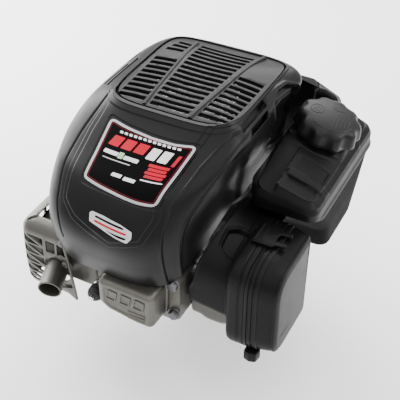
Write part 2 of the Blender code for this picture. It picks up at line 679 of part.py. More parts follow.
# Flywheel, fan, starter cup and nut
turned("flywheel", [(12.5, 126), (20, 126), (22, 129), (60, 129), (62, 127), (FLYWHEEL_R, 127),
                    (FLYWHEEL_R, 152),
                    (62, 152), (61, 136), (24, 136), (22, 150), (11.1, 150)], "cast_iron", count=24,
       loop=True)
blade_count = FAN_BLADES * 4


def fan_ring(height):
    points = []
    for i in range(blade_count):
        turn = 2 * pi * i / blade_count
        radius = FAN_R if i % 4 < 2 else 47
        sweep = radians(14) if i % 4 < 2 else 0
        points.append(Vector((radius * cos(turn + sweep), radius * sin(turn + sweep), height)))
    return points


add("flywheel_fan", skin([circle(FAN_R + 2, 153, blade_count), circle(FAN_R + 2, 156, blade_count),
                          fan_ring(156),
                          fan_ring(180), circle(42, 182, blade_count), circle(34, 182, blade_count),
                          circle(34, 153, blade_count)], loop=True), "dark_plastic")
turned("starter_cup", [(8.6, 150.4), (29, 150.4), (31, 152), (31, 174), (29, 174), (29, 152.4),
                       (8.6, 152.4)], "steel", count=18, loop=True)
nut_rings = [circle(8.3, 152.8, 24), circle(13, 152.8, 24)]
nut_rings += [hex_ring(12, h, 24) for h in (153.4, 162)]
add("flywheel_nut", skin([*nut_rings, circle(8.3, 162.4, 24)], loop=True), "steel")

# Rewind starter: pulley with its pawl hub on a post of the starter frame
turned("starter_pulley", [(6.4, 178), (20, 178), (21, 198), (38, 199), (40, 200), (40, 202), (31, 206),
                          (31, 208),
                          (40, 212), (40, 214), (36, 215), (6.4, 215)], "dark_plastic", count=20,
       loop=True)
turned("starter_frame", [(6, 190), (6, 218), (46, 219), (50, 224), (52, 249), (49.6, 249), (47.6, 226),
                         (44, 222),
                         (1.5, 221)], "grey_casting", count=20)

# Blower housing, open at the grille and below
HOUSING_TURNS = 36
levels_fine = (0, 0.5, 1, 1.5, 2, 2.5, 3, 3.5, 4, 4.5, 5.5, 7)
housing = add("blower_housing", skin(
    [[housing_point(2 * pi * i / HOUSING_TURNS, level) for i in range(HOUSING_TURNS)]
     for level in levels_fine],
    caps=(False, False)), "black_plastic")
thicken(housing, HOUSING_WALL)
vents = bmesh.new()


def slot_box(bm, x, y, z, skew=0.0):
    """Box whose two X faces are shifted along X by skew at the far Y end."""
    low = [Vector((x[0], y[0], z[0])), Vector((x[1], y[0], z[0])), Vector((x[1] + skew, y[1], z[0])),
           Vector((x[0] + skew, y[1], z[0]))]
    skin([low, [p + Vector((0, 0, z[1] - z[0])) for p in low]], bm=bm)


slot_box(vents, (74, 80), (-32, 28), (225, 270), 4)
slot_box(vents, (84, 95), (-26, 10), (222, 250), 1)
slot_box(vents, (-97, -94), (-30, 45), (235, 270), -2)
slot_box(vents, (-104, -101), (-20, 52), (230, 270), -2)
boolean(housing, tool("vent_cuts", vents), "DIFFERENCE")
EYELET = Vector((-38.0, 135.5, 215.0))
boolean(housing, tool("eyelet_cut", rods_mesh([(EYELET - Vector((0, 25, 0)), EYELET + Vector((0, 25, 0)),
                                                7)])),
        "DIFFERENCE")
turned("rope_eyelet", [(3.2, -5), (6.5, -5), (6.5, 3.6), (11, 3.8), (11, 6), (8, 7.5), (4, 7.5),
                       (3.2, 6)],
       "steel", EYELET, (0, 1, 0), 14, loop=True)

GRILLE_EDGE = 0.975
GRILLE_T = 4.5
GRILLE_TURNS = 28

# Top grille: an arched plate that fills the housing's opening, cut into bars


def grille_ring(scale, drop):
    """Ring of the grille plate, inside the rim and slightly domed."""
    points = []
    for i in range(GRILLE_TURNS):
        rim = housing_point(2 * pi * i / GRILLE_TURNS, 0)
        centre = Vector((-3, 10, 264.2))
        point = centre.lerp(rim, scale)
        point.z = rim.z + (centre.z - rim.z) * (1 - scale ** 2.5) - drop
        points.append(point)
    return points


grille = add("top_grille", skin(
    [grille_ring(s, 0.8) for s in (0.02, 0.5, 0.85, GRILLE_EDGE)]
    + [grille_ring(s, GRILLE_T) for s in (GRILLE_EDGE, 0.5, 0.02)]), "black_plastic")
slots = bmesh.new()
for index in range(8):
    y = -60 + index * 20
    half = 27 + 0.09 * (y + 60)
    slot_box(slots, (-3 - half, -1 + half - 2), (y, y + 12), (235, 280))
for index in range(5):
    y = -57 + index * 22.4
    spread = 0.09 * (y + 60)
    slot_box(slots, (-69 - spread * 0.3, -36 - spread), (y, y + 12), (235, 280))
    slot_box(slots, (31 + spread, 64 + spread * 0.3), (y, y + 10), (235, 280))
boolean(grille, tool("grille_slots", slots), "DIFFERENCE")

# Front label and badge plates, lying on the housing's front
front = -HOUSING_TURNS // 4


def on_housing(turn_steps, level, lift):
    """Point lifted off the housing along the local normal."""
    turn = 2 * pi * turn_steps / HOUSING_TURNS
    here = housing_point(turn, level)
    du = housing_point(turn + 0.02, level) - housing_point(turn - 0.02, level)
    dv = housing_point(turn, level + 0.02) - housing_point(turn, level - 0.02)
    normal = dv.cross(du).normalized()
    if normal.y > 0:
        normal.negate()
    return here + normal * lift


def front_plate(name, steps, levels, lifts, look):
    rows = [[[on_housing(front + k, level, lift) for k in steps] for level in levels] for lift in lifts]
    add(name, sandwich(*rows), look)


front_plate("front_label", range(-2, 3), (1.0, 1.5, 2.0, 2.5, 3.0), (0.9, 2.1), "label")
front_plate("front_badge", range(-1, 2), (3.5, 4.0, 4.5), (1.0, 3.0), "badge")

# Side cover over the carburettor
COVER_RIGHT_X = 114.5


def cover_profile(t):
    """Front, shoulder and top of the side cover, from the front lower edge to the rear, at a share t of its width."""
    front_y = -147 + 9 * t
    low_z = 66 - 16 * t
    top_z = 148 - 13 * t
    points = [(front_y + 1.5, low_z), (front_y, low_z + 20), (front_y, top_z - 48),
              (front_y + 3, top_z - 32),
              (front_y + 12, top_z - 17), (front_y + 26, top_z - 8), (front_y + 48, top_z - 2),
              (front_y + 72, top_z + 1),
              (-44, top_z + 4)]
    row = []
    for y, z in points:
        near = 72.6 + 14 * min(1, max(0, (y + 147) / 72)) ** 0.5 if z > 102 else 68
        row.append(Vector((near + (COVER_RIGHT_X - near) * t, y, z)))
    return row


side_cover = add("side_cover",
                 grid_mesh([cover_profile(t) for t in (0, 0.16, 0.36, 0.58, 0.78, 0.93, 1)]),
                 "black_plastic")
thicken(side_cover, 2.4)
shield_profile = [(-132, 59), (-132.5, 44), (-129, 32), (-119, 23), (-102, 19), (-88, 18)]
shield = add("cylinder_shield", grid_mesh([[Vector((x, y, z)) for y, z in shield_profile]
                                           for x in (64, 80, 98, 115)]), "grey_casting")
thicken(shield, 1.4)

# Fuel tank: a vessel with an open neck
TANK_COUNT = 24


def tank_ring(x, y, radius, z, slope=0.0, shrink=0.0):
    corners = [(x[0], y[0]), (x[1], y[0]), (x[1], y[1]), (x[0], y[1])]
    line = inset(resampled(rounded(corners, radius), TANK_COUNT), shrink)
    return [Vector((p.x, p.y, z + slope * (p.x - TANK_SLOPE_X))) for p in line]


def neck_ring(radius, height):
    matrix = aim(CAP_ORIGIN, CAP_AXIS)
    ring = circle(radius, height, TANK_COUNT, matrix=matrix)
    first = min(range(TANK_COUNT), key=lambda i: atan2(ring[i].y - 78, ring[i].x - 137) + (
        0 if atan2(ring[i].y - 78, ring[i].x - 137) > -2.2 else 2 * pi))
    flip = (ring[1] - ring[0]).cross(ring[2] - ring[1]).z < 0
    ordered = ring[first:] + ring[:first]
    return ordered[:1] + ordered[:0:-1] if flip else ordered


tank_levels = (
    ((118, 166), (40, 136), 12, 43, 0), ((112, 171), (32, 142), 16, 49, 0),
               ((102, 175), (6, 148), 18, 95, 0),
    ((96, 177), (-32, 151), 18, 139, 0), ((92.5, 179.5), (-37, 154), 18, 141, 0),
    ((92.5, 179.5), (-38, 154), 18, 144, 0), ((93, 178), (-46, 152), 16, 148, 0),
    ((93, 178), (-49, 152), 16, 164, -0.1), ((94.5, 176), (-48, 150), 16, 177, -0.25),
    ((100, 170), (-42, 144), 14, 184, -0.3),
)
tank_outer = [tank_ring(*level) for level in tank_levels]
tank_inner = [tank_ring(x, y, radius, z + (2.8 if k == 0 else -2.4 if k > 7 else 0), slope, TANK_WALL)
              for k, (x, y, radius, z, slope) in enumerate(tank_levels) if k not in (4, 5)][::-1]
add("fuel_tank", skin(tank_outer + [neck_ring(33, 2), neck_ring(31, 4), neck_ring(31, 15),
                                    neck_ring(27, 15),
                                    neck_ring(27, -2)] + tank_inner), "black_plastic")

cap_matrix = aim(CAP_ORIGIN, CAP_AXIS)


def cap_ring(radius, height, lobes=0.0):
    points = []
    for i in range(CAP_LOBES * 4):
        turn = 2 * pi * i / (CAP_LOBES * 4)
        r = radius + lobes * cos(CAP_LOBES * turn)
        points.append(cap_matrix @ Vector((r * cos(turn), r * sin(turn), height)))
    return points


add("fuel_cap", skin([cap_ring(20, 19), cap_ring(33, 18), cap_ring(33, 6), cap_ring(38, 6, 1.0),
                      cap_ring(CAP_R, 9, 1.6),
                      cap_ring(CAP_R, 17, 1.6), cap_ring(38, 22, 1.4), cap_ring(30, 25, 0.5),
                      cap_ring(12, 27)]),
    "black_plastic", CAP_ORIGIN)
turned("fuel_cap_gasket", [(26.8, 15.4), (31.5, 15.4), (31.5, 17.4), (26.8, 17.4)], "rubber", CAP_ORIGIN,
       CAP_AXIS, 20,
       loop=True)

# Air cleaner
air_corners = [(AIR_Y[0], AIR_Z[0]), (AIR_Y[1], AIR_Z[0]), (AIR_Y[1], AIR_Z[1]), (AIR_Y[0], AIR_Z[1])]
air_line = resampled(rounded(air_corners, [34, 18, 10, 38], 5), 28)


def air_ring(x, shrink, top=0.0):
    ring = lifted(inset(air_line, shrink), "YZ", x)
    middle = (AIR_Z[0] + AIR_Z[1]) / 2
    return [Vector((p.x, p.y, p.z - top * max(0, (p.z - middle) / (AIR_Z[1] - middle)))) for p in ring]


air_base = add("air_cleaner_base", skin([
    air_ring(AIR_X[0] + 3, 4), air_ring(AIR_X[1], 2.6), air_ring(AIR_X[1], 0), air_ring(AIR_X[0] + 3, 0),
    air_ring(AIR_X[0], 3)]), "black_plastic")
boolean(air_base, tool("intake_hole", rods_mesh([((110, *INTAKE_YZ), (125, *INTAKE_YZ), 13)], 20)),
        "DIFFERENCE")
add("air_cleaner_cover", skin([
    air_ring(AIR_X[2] - 4, 16, 10), air_ring(168, 6, 4), air_ring(AIR_X[1] + GAP, 2.6),
                               air_ring(AIR_X[1] + GAP, 0),
    air_ring(150, 0.5), air_ring(164, 2, 1), air_ring(171, 6, 5), air_ring(AIR_X[2], 13, 9)]),
    "black_plastic",
    (AIR_X[1] + GAP, -95, AIR_Z[0]))
filter_line = []
for index in range(14):
    filter_line += [(122.5, -132 + index * 5.6), (126.5, -129.2 + index * 5.6)]
for index in reversed(range(14)):
    filter_line += [(152, -129.2 + index * 5.6), (148, -132 + index * 5.6)]
prism("air_filter", filter_line, "XY", 34, 116, "paper")
latch_line = [(124, -100), (150, -100), (160, -96), (160, -88), (148, -88), (146, -76), (160, -74),
              (160, -66),
              (150, -62), (124, -62)]
prism("air_cleaner_latch", latch_line, "XY", AIR_Z[1] + 0.6, AIR_Z[1] + 4.2, "black_plastic",
      (124, -81, AIR_Z[1] + 4.2), 0.8)

# Carburettor, float bowl, throttle lever and intake elbow
carb = block("carburetor", (85, 110), (INTAKE_YZ[0] - 15, INTAKE_YZ[0] + 15), (56, 94), "aluminium",
             bevel=2)
boolean(carb, tool("throat_cut", rods_mesh([((80, *INTAKE_YZ), (114, *INTAKE_YZ), 8)], 20)),
        "DIFFERENCE")
turned("float_bowl", [(16, 55.5), (16, 36), (13, 31), (4, 30)][::-1], "aluminium", (97, INTAKE_YZ[0], 0))
turned("throttle_lever", [(3, 94.6), (3, 99), (3, 99.2), (2, 100)], "steel", (97, INTAKE_YZ[0], 0),
       count=12,
       pivot=(97, INTAKE_YZ[0], 96))
lever_arm = block("lever_arm_form", (74, 101), (INTAKE_YZ[0] - 3, INTAKE_YZ[0] + 3), (96, 98), None)
lever_arm.hide_render = True
lever_arm.display_type = "WIRE"
boolean(bpy.data.objects["throttle_lever"], lever_arm, "UNION")
bend = [Vector((HEAD_X[1] + 0.6, PORT_Y, CYLINDER_Z)), Vector((70, PORT_Y + 2, CYLINDER_Z)),
        Vector((74, -118, CYLINDER_Z)), Vector((79, INTAKE_YZ[0] - 1, CYLINDER_Z)),
        Vector((83.6, INTAKE_YZ[0], CYLINDER_Z))]
elbow_axes = [(1, 0, 0), (1, 0.5, 0), (1, 1.6, 0), (1, 0.6, 0), (1, 0, 0)]
elbow_rings = [circle(10.5, 0, 14, matrix=aim(p, a)) for p, a in zip(bend, elbow_axes)]
elbow_rings += [circle(8, 0, 14, matrix=aim(p, a)) for p, a in zip(reversed(bend), reversed(elbow_axes))]
add("intake_elbow", skin(elbow_rings, loop=True), "dark_plastic")

# Muffler, its guard, gasket and outlet tube


def muffler_ring(z, shrink):
    return squircle(MUFFLER_X[0] + shrink, MUFFLER_X[1] - shrink, MUFFLER_Y[0] + shrink,
                    MUFFLER_Y[1] - shrink, 2.5, z, 24)


muffler = add("muffler", skin([muffler_ring(MUFFLER_Z[0], 10), muffler_ring(MUFFLER_Z[0] + 5, 1),
                               muffler_ring(60, 0), muffler_ring(60.5, -2), muffler_ring(62.5, -2),
                               muffler_ring(63, 0),
                               muffler_ring(MUFFLER_Z[1] - 5, 1), muffler_ring(MUFFLER_Z[1], 10)]),
              "grey_casting")
inlet = block("muffler_inlet_form", (-104, -50), (-150, -118), (60, 88), None)
boolean(muffler, inlet, "UNION")
cavity = tool("muffler_cavity",
              skin([muffler_ring(MUFFLER_Z[0] + 3, 12), muffler_ring(MUFFLER_Z[0] + 7, 3),
                                      muffler_ring(MUFFLER_Z[1] - 7, 3),
                    muffler_ring(MUFFLER_Z[1] - 3, 12)]))
boolean(muffler, cavity, "DIFFERENCE")
outlet_axis = OUTLET_END - OUTLET_START
muffler_mouth = tool("muffler_mouth", rods_mesh(
    [(OUTLET_START - outlet_axis * 0.3, OUTLET_START + outlet_axis * 0.1, OUTLET_R - 1.5)], 20))
muffler_throat = tool("muffler_throat",
                      rods_mesh([((-112, -134, CYLINDER_Z), (-48, -134, CYLINDER_Z), 9)], 16))
boolean(muffler, muffler_mouth, "DIFFERENCE")
boolean(muffler, muffler_throat, "DIFFERENCE")
turned("muffler_gasket", [(9.6, 0.4), (14, 0.4), (14, 1.6), (9.6, 1.6)], "gasket",
       (-48, -134, CYLINDER_Z), (-1, 0, 0),
       20, loop=True)
turned("muffler_outlet", [(OUTLET_R - 1.8, 1), (OUTLET_R + 2, 1), (OUTLET_R + 2, 3), (OUTLET_R, 4),
                          (OUTLET_R, outlet_axis.length), (OUTLET_R - 1.8, outlet_axis.length)],
       "grey_casting",
       OUTLET_START + Vector((0, -4, 0)), outlet_axis, 24, loop=True)


def guard_line(grow):
    return [(-86, -164 - grow), (-151 - grow * 0.4, -164 - grow), (-162 - grow, -151 - grow * 0.4),
            (-162 - grow, -66),
            (-100, -62 + grow)]


def guard_row(z, grow, lean=0.0):
    row = [Vector((*p, z)) for p in guard_line(grow)]
    return [p.lerp(Vector((-110, -110, z)), lean) for p in row]


guard = add("muffler_guard", grid_mesh([guard_row(10, -6), guard_row(22, 0), guard_row(60, 1),
                                        guard_row(98, -1),
                                        guard_row(108, -5, 0.05), guard_row(111, -12, 0.12)]),
            "grey_casting")
thicken(guard, 2.4)
windows = bmesh.new()
for row in range(4):
    low_z = 22 + row * 19
    for shape in (((-153, 0), (-128, 0), (-153, 14)), ((-124.5, 2), (-124.5, 16), (-149, 16))):
        corners = [Vector((x, -175, low_z + z)) for x, z in shape]
        skin([corners, [p + Vector((0, 20, 0)) for p in corners]], bm=windows)
for left in (-119, -102):
    slot_box(windows, (left, left + 14), (-175, -155), (76, 94))
slot_box(windows, (-170, -150), (-118, -76), (30, 90))
boolean(guard, tool("guard_windows", windows), "DIFFERENCE")
boolean(guard, tool("guard_outlet_cut", rods_mesh([(OUTLET_START, OUTLET_END, OUTLET_R + 4)], 20)),
        "DIFFERENCE")

# Spark plug, boot, ignition coil
turned("spark_plug", [(4.6, -16), (4.6, 0.6), (10, 0.8), (10, 8), (5.6, 9), (5, 24), (3, 25), (3, 29)],
       "steel",
       PLUG, towards_head, 14)
turned("spark_plug_boot", [(3.6, 31), (3.6, 25.4), (6.2, 24.6), (6.2, 11), (9.5, 11),
                           (10, 14), (9, 28), (7, 34), (2, 35)], "rubber", PLUG, towards_head, 14)
block("ignition_coil", (-86, -60), (58, 84), (126, 152), "dark_plastic", bevel=2)

# Oil filler tube and dipstick
TUBE_START = Vector((-62.0, 76.0, 62.0))
TUBE_AXIS = Vector((-0.6, 0.3, 0.74)).normalized()
TUBE_LENGTH = 98.0
turned("oil_filler_tube", [(6.5, 0), (9, 0), (9, TUBE_LENGTH - 12), (11.5, TUBE_LENGTH - 9),
                           (11.5, TUBE_LENGTH),
                           (9, TUBE_LENGTH), (6.5, TUBE_LENGTH - 8)], "black_plastic", TUBE_START,
       TUBE_AXIS, 16, loop=True)
turned("dipstick", [(1.6, 6), (1.6, TUBE_LENGTH - 6), (6, TUBE_LENGTH - 4), (8.2, TUBE_LENGTH + 0.6),
                    (13, TUBE_LENGTH + 0.6), (14, TUBE_LENGTH + 4), (13, TUBE_LENGTH + 12),
                    (6, TUBE_LENGTH + 14)],
       "dark_plastic", TUBE_START, TUBE_AXIS, 16)
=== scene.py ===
"""Looks of a small vertical-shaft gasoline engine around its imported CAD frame. Lengths in millimetres."""

from math import atan2, cos, pi, radians, sin

import bmesh
import bpy
import numpy as np
from mathutils import Matrix, Vector


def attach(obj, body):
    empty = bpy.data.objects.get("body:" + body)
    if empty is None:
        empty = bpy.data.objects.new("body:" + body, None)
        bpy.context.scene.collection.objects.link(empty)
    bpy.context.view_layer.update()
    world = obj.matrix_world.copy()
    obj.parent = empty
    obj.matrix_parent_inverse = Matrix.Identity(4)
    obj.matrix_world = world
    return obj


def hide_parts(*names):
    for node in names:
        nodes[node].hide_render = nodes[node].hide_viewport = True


MM = 0.001
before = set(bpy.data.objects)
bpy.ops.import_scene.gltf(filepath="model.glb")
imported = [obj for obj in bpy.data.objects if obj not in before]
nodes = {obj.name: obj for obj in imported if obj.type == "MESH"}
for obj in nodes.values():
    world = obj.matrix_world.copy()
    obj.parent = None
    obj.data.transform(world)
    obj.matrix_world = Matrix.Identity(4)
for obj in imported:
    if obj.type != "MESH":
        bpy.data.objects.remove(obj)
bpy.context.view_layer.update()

# ---------------------------------------------------------------- camera
CAMERA_AT = Vector((407.3, -764.2, 795.8))
CAMERA_TURN = radians(27.687)
CAMERA_TILT = radians(39.412)
right = Vector((cos(CAMERA_TURN), sin(CAMERA_TURN), 0))
look = Vector((-sin(CAMERA_TURN) * cos(CAMERA_TILT), cos(CAMERA_TURN) * cos(CAMERA_TILT),
               -sin(CAMERA_TILT)))
up = right.cross(look)
camera_data = bpy.data.cameras.new("camera")
camera_data.lens = 78.42
camera_data.sensor_width = 36
camera_data.clip_end = 20
camera = bpy.data.objects.new("camera", camera_data)
bpy.context.scene.collection.objects.link(camera)
camera_axes = Matrix((right, up, -look)).transposed().to_4x4()
camera.matrix_world = Matrix.Translation(CAMERA_AT * MM) @ camera_axes
bpy.context.scene.camera = camera


# ---------------------------------------------------------------- materials
def principled(name):
    made = bpy.data.materials.new(name)
    made.use_nodes = True
    return made, made.node_tree, made.node_tree.nodes["Principled BSDF"]


def link(tree, a, b):
    tree.links.new(a, b)


def noise(tree, scale, detail=4.0, rough=0.6, stretch=None):
    coords = tree.nodes.new("ShaderNodeTexCoord")
    tex = tree.nodes.new("ShaderNodeTexNoise")
    tex.inputs["Scale"].default_value = scale
    tex.inputs["Detail"].default_value = detail
    tex.inputs["Roughness"].default_value = rough
    if stretch:
        mapping = tree.nodes.new("ShaderNodeMapping")
        mapping.inputs["Scale"].default_value = stretch
        link(tree, coords.outputs["Object"], mapping.inputs["Vector"])
        link(tree, mapping.outputs["Vector"], tex.inputs["Vector"])
    else:
        link(tree, coords.outputs["Object"], tex.inputs["Vector"])
    return tex.outputs["Fac"]


def ramp(tree, value, stops):
    node = tree.nodes.new("ShaderNodeValToRGB")
    first, last = node.color_ramp.elements
    first.position, first.color = stops[0]
    last.position, last.color = stops[-1]
    for at, colour in stops[1:-1]:
        node.color_ramp.elements.new(at).color = colour
    link(tree, value, node.inputs["Fac"])
    return node.outputs["Color"]


def grey(v):
    return (v, v, v, 1)


def mapped(tree, value, low, high):
    node = tree.nodes.new("ShaderNodeMapRange")
    node.inputs["To Min"].default_value = low
    node.inputs["To Max"].default_value = high
    link(tree, value, node.inputs["Value"])
    return node.outputs["Result"]


def mixed(tree, factor, a, b, mode="MIX"):
    node = tree.nodes.new("ShaderNodeMix")
    node.data_type = "RGBA"
    node.blend_type = mode
    for socket, value in ((node.inputs["Factor"], factor), (node.inputs["A"], a), (node.inputs["B"], b)):
        if isinstance(value, (int, float, tuple)):
            socket.default_value = value
        else:
            link(tree, value, socket)
    return node.outputs["Result"]


def worn_edges(tree):
    """0 on flats, 1 on convex edges."""
    geometry = tree.nodes.new("ShaderNodeNewGeometry")
    return ramp(tree, geometry.outputs["Pointiness"], [(0.5, grey(0)), (0.58, grey(1))])


def bumps(tree, layers, shader):
    """Chained bump layers: (height, distance in metres)."""
    previous = None
    for height, distance in layers:
        bump = tree.nodes.new("ShaderNodeBump")
        bump.inputs["Distance"].default_value = distance
        bump.inputs["Strength"].default_value = 1.0
        link(tree, height, bump.inputs["Height"])
        if previous:
            link(tree, previous, bump.inputs["Normal"])
        previous = bump.outputs["Normal"]
    link(tree, previous, shader.inputs["Normal"])


def shade(tone, share, more=0.0):
    """Colour from a tone times a share, plus a little more."""
    return (*[min(1, c * share + more) for c in tone], 1)


def moulded(name, tone, rough, edge=0.012, grain=0.00003, specular=0.5):
    """Moulded plastic: fine spark-eroded grain, faint flow marks, edges rubbed a little lighter."""
    made, tree, shader = principled(name)
    cloud = noise(tree, 14, 5, 0.6)
    dust = noise(tree, 55, 6, 0.7)
    body = ramp(tree, cloud, [(0.3, shade(tone, 0.88)), (0.7, shade(tone, 1.14))])
    speck = ramp(tree, noise(tree, 900, 2, 0.5), [(0.3, grey(0.93)), (0.7, grey(1.07))])
    body = mixed(tree, 1.0, body, speck, "MULTIPLY")
    body = mixed(tree, mapped(tree, worn_edges(tree), 0.0, 0.6), body, shade(tone, 1, edge))
    link(tree, body, shader.inputs["Base Color"])
    link(tree, mapped(tree, dust, rough - 0.07, rough + 0.08), shader.inputs["Roughness"])
    shader.inputs["Specular IOR Level"].default_value = specular
    bumps(tree, [(noise(tree, 2600, 2, 0.5), grain), (noise(tree, 700, 3, 0.5), grain * 0.8),
                 (noise(tree, 9, 2, 0.4), 0.0006)], shader)
    return made


def painted(name, tone, rough, metallic, edge=1.5, cast=0.00018):
    """Painted or blasted casting: orange peel, sand-cast pits, painted shade darkening the hollows, bright
    edges.
    """
    made, tree, shader = principled(name)
    cloud = noise(tree, 22, 6, 0.65)
    body = ramp(tree, cloud, [(0.25, shade(tone, 0.78)), (0.55, shade(tone, 1)),
                              (0.8, shade(tone, 1.2))])
    fleck = ramp(tree, noise(tree, 1500, 3, 0.6), [(0.3, grey(0.82)), (0.7, grey(1.15))])
    body = mixed(tree, 1.0, body, fleck, "MULTIPLY")
    # Painted shade: concave places (low pointiness) are darkened, as if shade fell in the hollows.
    geometry = tree.nodes.new("ShaderNodeNewGeometry")
    painted_hollow_shade = ramp(tree, geometry.outputs["Pointiness"], [(0.42, grey(0.45)), (0.5, grey(1))])
    body = mixed(tree, 0.7, body, painted_hollow_shade, "MULTIPLY")
    body = mixed(tree, mapped(tree, worn_edges(tree), 0.0, 0.55), body, shade(tone, edge))
    link(tree, body, shader.inputs["Base Color"])
    shader.inputs["Metallic"].default_value = metallic
    link(tree, mapped(tree, noise(tree, 60, 5, 0.6), rough - 0.1, rough + 0.12),
         shader.inputs["Roughness"])
    bumps(tree, [(noise(tree, 1400, 3, 0.6), cast), (noise(tree, 260, 4, 0.6), cast * 1.2)], shader)
    return made


def machined(name, tone, rough, stretch=(1, 1, 30)):
    """Turned or ground metal: fine lay lines, faint oil stain."""
    made, tree, shader = principled(name)
    stain = noise(tree, 30, 4, 0.6)
    body = ramp(tree, stain, [(0.3, shade(tone, 0.75)), (0.7, shade(tone, 1.12))])
    link(tree, body, shader.inputs["Base Color"])
    shader.inputs["Metallic"].default_value = 1.0
    lay = noise(tree, 160, 3, 0.6, stretch)
    link(tree, mapped(tree, lay, rough - 0.08, rough + 0.12), shader.inputs["Roughness"])
    bumps(tree, [(lay, 0.00003), (noise(tree, 900, 2, 0.5), 0.00002)], shader)
    return made


def print_film(name, tone, rough=0.22, metallic=0.0, specular=0.25):
    """Printed vinyl with a clear overlay and tiny dust dimples."""
    made, tree, shader = principled(name)
    body = ramp(tree, noise(tree, 40, 4, 0.5), [(0.3, shade(tone, 0.92)), (0.7, shade(tone, 1.06))])
    link(tree, body, shader.inputs["Base Color"])
    shader.inputs["Metallic"].default_value = metallic
    shader.inputs["Specular IOR Level"].default_value = specular
    link(tree, mapped(tree, noise(tree, 120, 4, 0.6), rough - 0.05, rough + 0.08),
         shader.inputs["Roughness"])
    bumps(tree, [(noise(tree, 400, 2, 0.5), 0.00003)], shader)
    return made


LOOKS = {
    "shroud": moulded("shroud_plastic", (0.0040, 0.0040, 0.0044), 0.34, 0.004, specular=0.15),
    "grille": moulded("grille_plastic", (0.005, 0.005, 0.0054), 0.36, 0.006, specular=0.13),
    "cover": moulded("cover_plastic", (0.0036, 0.0036, 0.004), 0.36, 0.005, specular=0.09),
    "tank": moulded("tank_plastic", (0.0042, 0.0042, 0.0046), 0.42, 0.005, 0.00004, 0.09),
    # Darker, less glossy copy of the tank plastic for the tank below its seam: painted shade on the lower
    # tank.
    "tank_under_painted_shade": moulded("tank_under_painted_shade_plastic", (0.0036, 0.0036, 0.004), 0.6, 0.004, 0.00004, 0.012),
    "cap": moulded("cap_plastic", (0.0045, 0.0045, 0.005), 0.38, 0.006, 0.00005, 0.18),
    "dark": moulded("inner_plastic", (0.004, 0.004, 0.0045), 0.5, 0.004, 0.00006, 0.12),
    "rubber": moulded("rubber_black", (0.008, 0.008, 0.0085), 0.6, 0.006, 0.00008, 0.3),
    "casting": painted("casting_paint", (0.090, 0.086, 0.074), 0.36, 0.6),
    "sheet": painted("sheet_paint", (0.072, 0.069, 0.061), 0.34, 0.65, 1.8, 0.00008),
    "case": painted("case_metal", (0.16, 0.157, 0.15), 0.44, 0.7, cast=0.00026),
    "aluminium": painted("cast_aluminium", (0.50, 0.50, 0.49), 0.38, 0.95, 1.3, 0.00012),
    "iron": painted("cast_iron", (0.11, 0.11, 0.115), 0.5, 0.85, 1.8, 0.0003),
    "steel": machined("turned_steel", (0.55, 0.54, 0.52), 0.3),
    "bright": machined("bright_steel", (0.72, 0.72, 0.71), 0.24, (30, 1, 1)),
    "gasket": moulded("gasket_fibre", (0.10, 0.10, 0.092), 0.8, grain=0.00012, specular=0.2),
    "paper": moulded("filter_paper", (0.56, 0.45, 0.27), 0.85, 0.05, 0.0001, 0.2),
    "film_black": print_film("film_black", (0.0012, 0.0012, 0.0014), 0.3, 0.0, 0.03),
    "film_silver": print_film("film_silver", (0.36, 0.36, 0.37), 0.35, 0.3),
    "film_white": print_film("film_white", (0.66, 0.66, 0.65), 0.3, 0.0, 0.1),
    "film_red": print_film("film_red", (0.42, 0.006, 0.022), 0.3, 0.0, 0.08),
    "film_wine": print_film("film_wine", (0.10, 0.004, 0.010), 0.3, 0.0, 0.08),
    "film_green": print_film("film_green", (0.36, 0.52, 0.28), 0.3, 0.0, 0.08),
    "badge": painted("badge_metal", (0.72, 0.72, 0.73), 0.26, 0.85, 1.15, 0.00002),
}

# ---------------------------------------------------------------- geometry helpers


def finish(name, mesh, look, body, stands_for=(), sharp=35):
    """Object from a mesh in millimetres, riding on a body."""
    mesh.polygons.foreach_set("use_smooth", [True] * len(mesh.polygons))
    if sharp:
        mesh.set_sharp_from_angle(angle=radians(sharp))
    mesh.transform(Matrix.Scale(MM, 4))
    made = bpy.data.objects.new(name, mesh)
    made.data.materials.append(LOOKS[look])
    bpy.context.scene.collection.objects.link(made)
    if body:
        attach(made, body)
    if stands_for:
        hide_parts(*stands_for)
    return made


def from_bm(name, bm, look, body, stands_for=(), sharp=35):
    bmesh.ops.recalc_face_normals(bm, faces=bm.faces)
    mesh = bpy.data.meshes.new(name)
    bm.to_mesh(mesh)
    bm.free()
    return finish(name, mesh, look, body, stands_for, sharp)


def skin(rings, loop=False, caps=(True, True), bm=None):
    bm = bm or bmesh.new()
    rows = [[bm.verts.new(point) for point in ring] for ring in rings]
    count = len(rows[0])
    pairs = list(zip(rows, rows[1:]))
    if loop:
        pairs.append((rows[-1], rows[0]))
    for low, high in pairs:
        for i in range(count):
            j = (i + 1) % count
            bm.faces.new((low[i], low[j], high[j], high[i]))
    if not loop:
        for wanted, row in zip(caps, (rows[0][::-1], rows[-1])):
            if wanted:
                bm.faces.new(row)
    return bm


def aim(origin, axis):
    """Frame at origin whose Z points along axis."""
    turn = Vector(axis).normalized().to_track_quat("Z", "Y").to_matrix()
    return Matrix.Translation(Vector(origin)) @ turn.to_4x4()


def circle(radius, height, count=48, matrix=None):
    points = [Vector((radius * cos(2 * pi * i / count), radius * sin(2 * pi * i / count), height))
              for i in range(count)]
    return [matrix @ p for p in points] if matrix else points


def softened(profile, amount=0.35, steps=3, loop=False):
    """Profile with each inner corner replaced by a small arc."""
    out = []
    total = len(profile)
    for i, here in enumerate(profile):
        if not loop and i in (0, total - 1):
            out.append(here)
            continue
        a, b, c = Vector(profile[i - 1]), Vector(here), Vector(profile[(i + 1) % total])
        reach = min(amount, (a - b).length * 0.45, (c - b).length * 0.45)
        first, last = b + (a - b).normalized() * reach, b + (c - b).normalized() * reach
        for k in range(steps + 1):
            t = k / steps
            p = first * (1 - t) ** 2 + b * 2 * t * (1 - t) + last * t * t
            out.append((p.x, p.y))
    return out


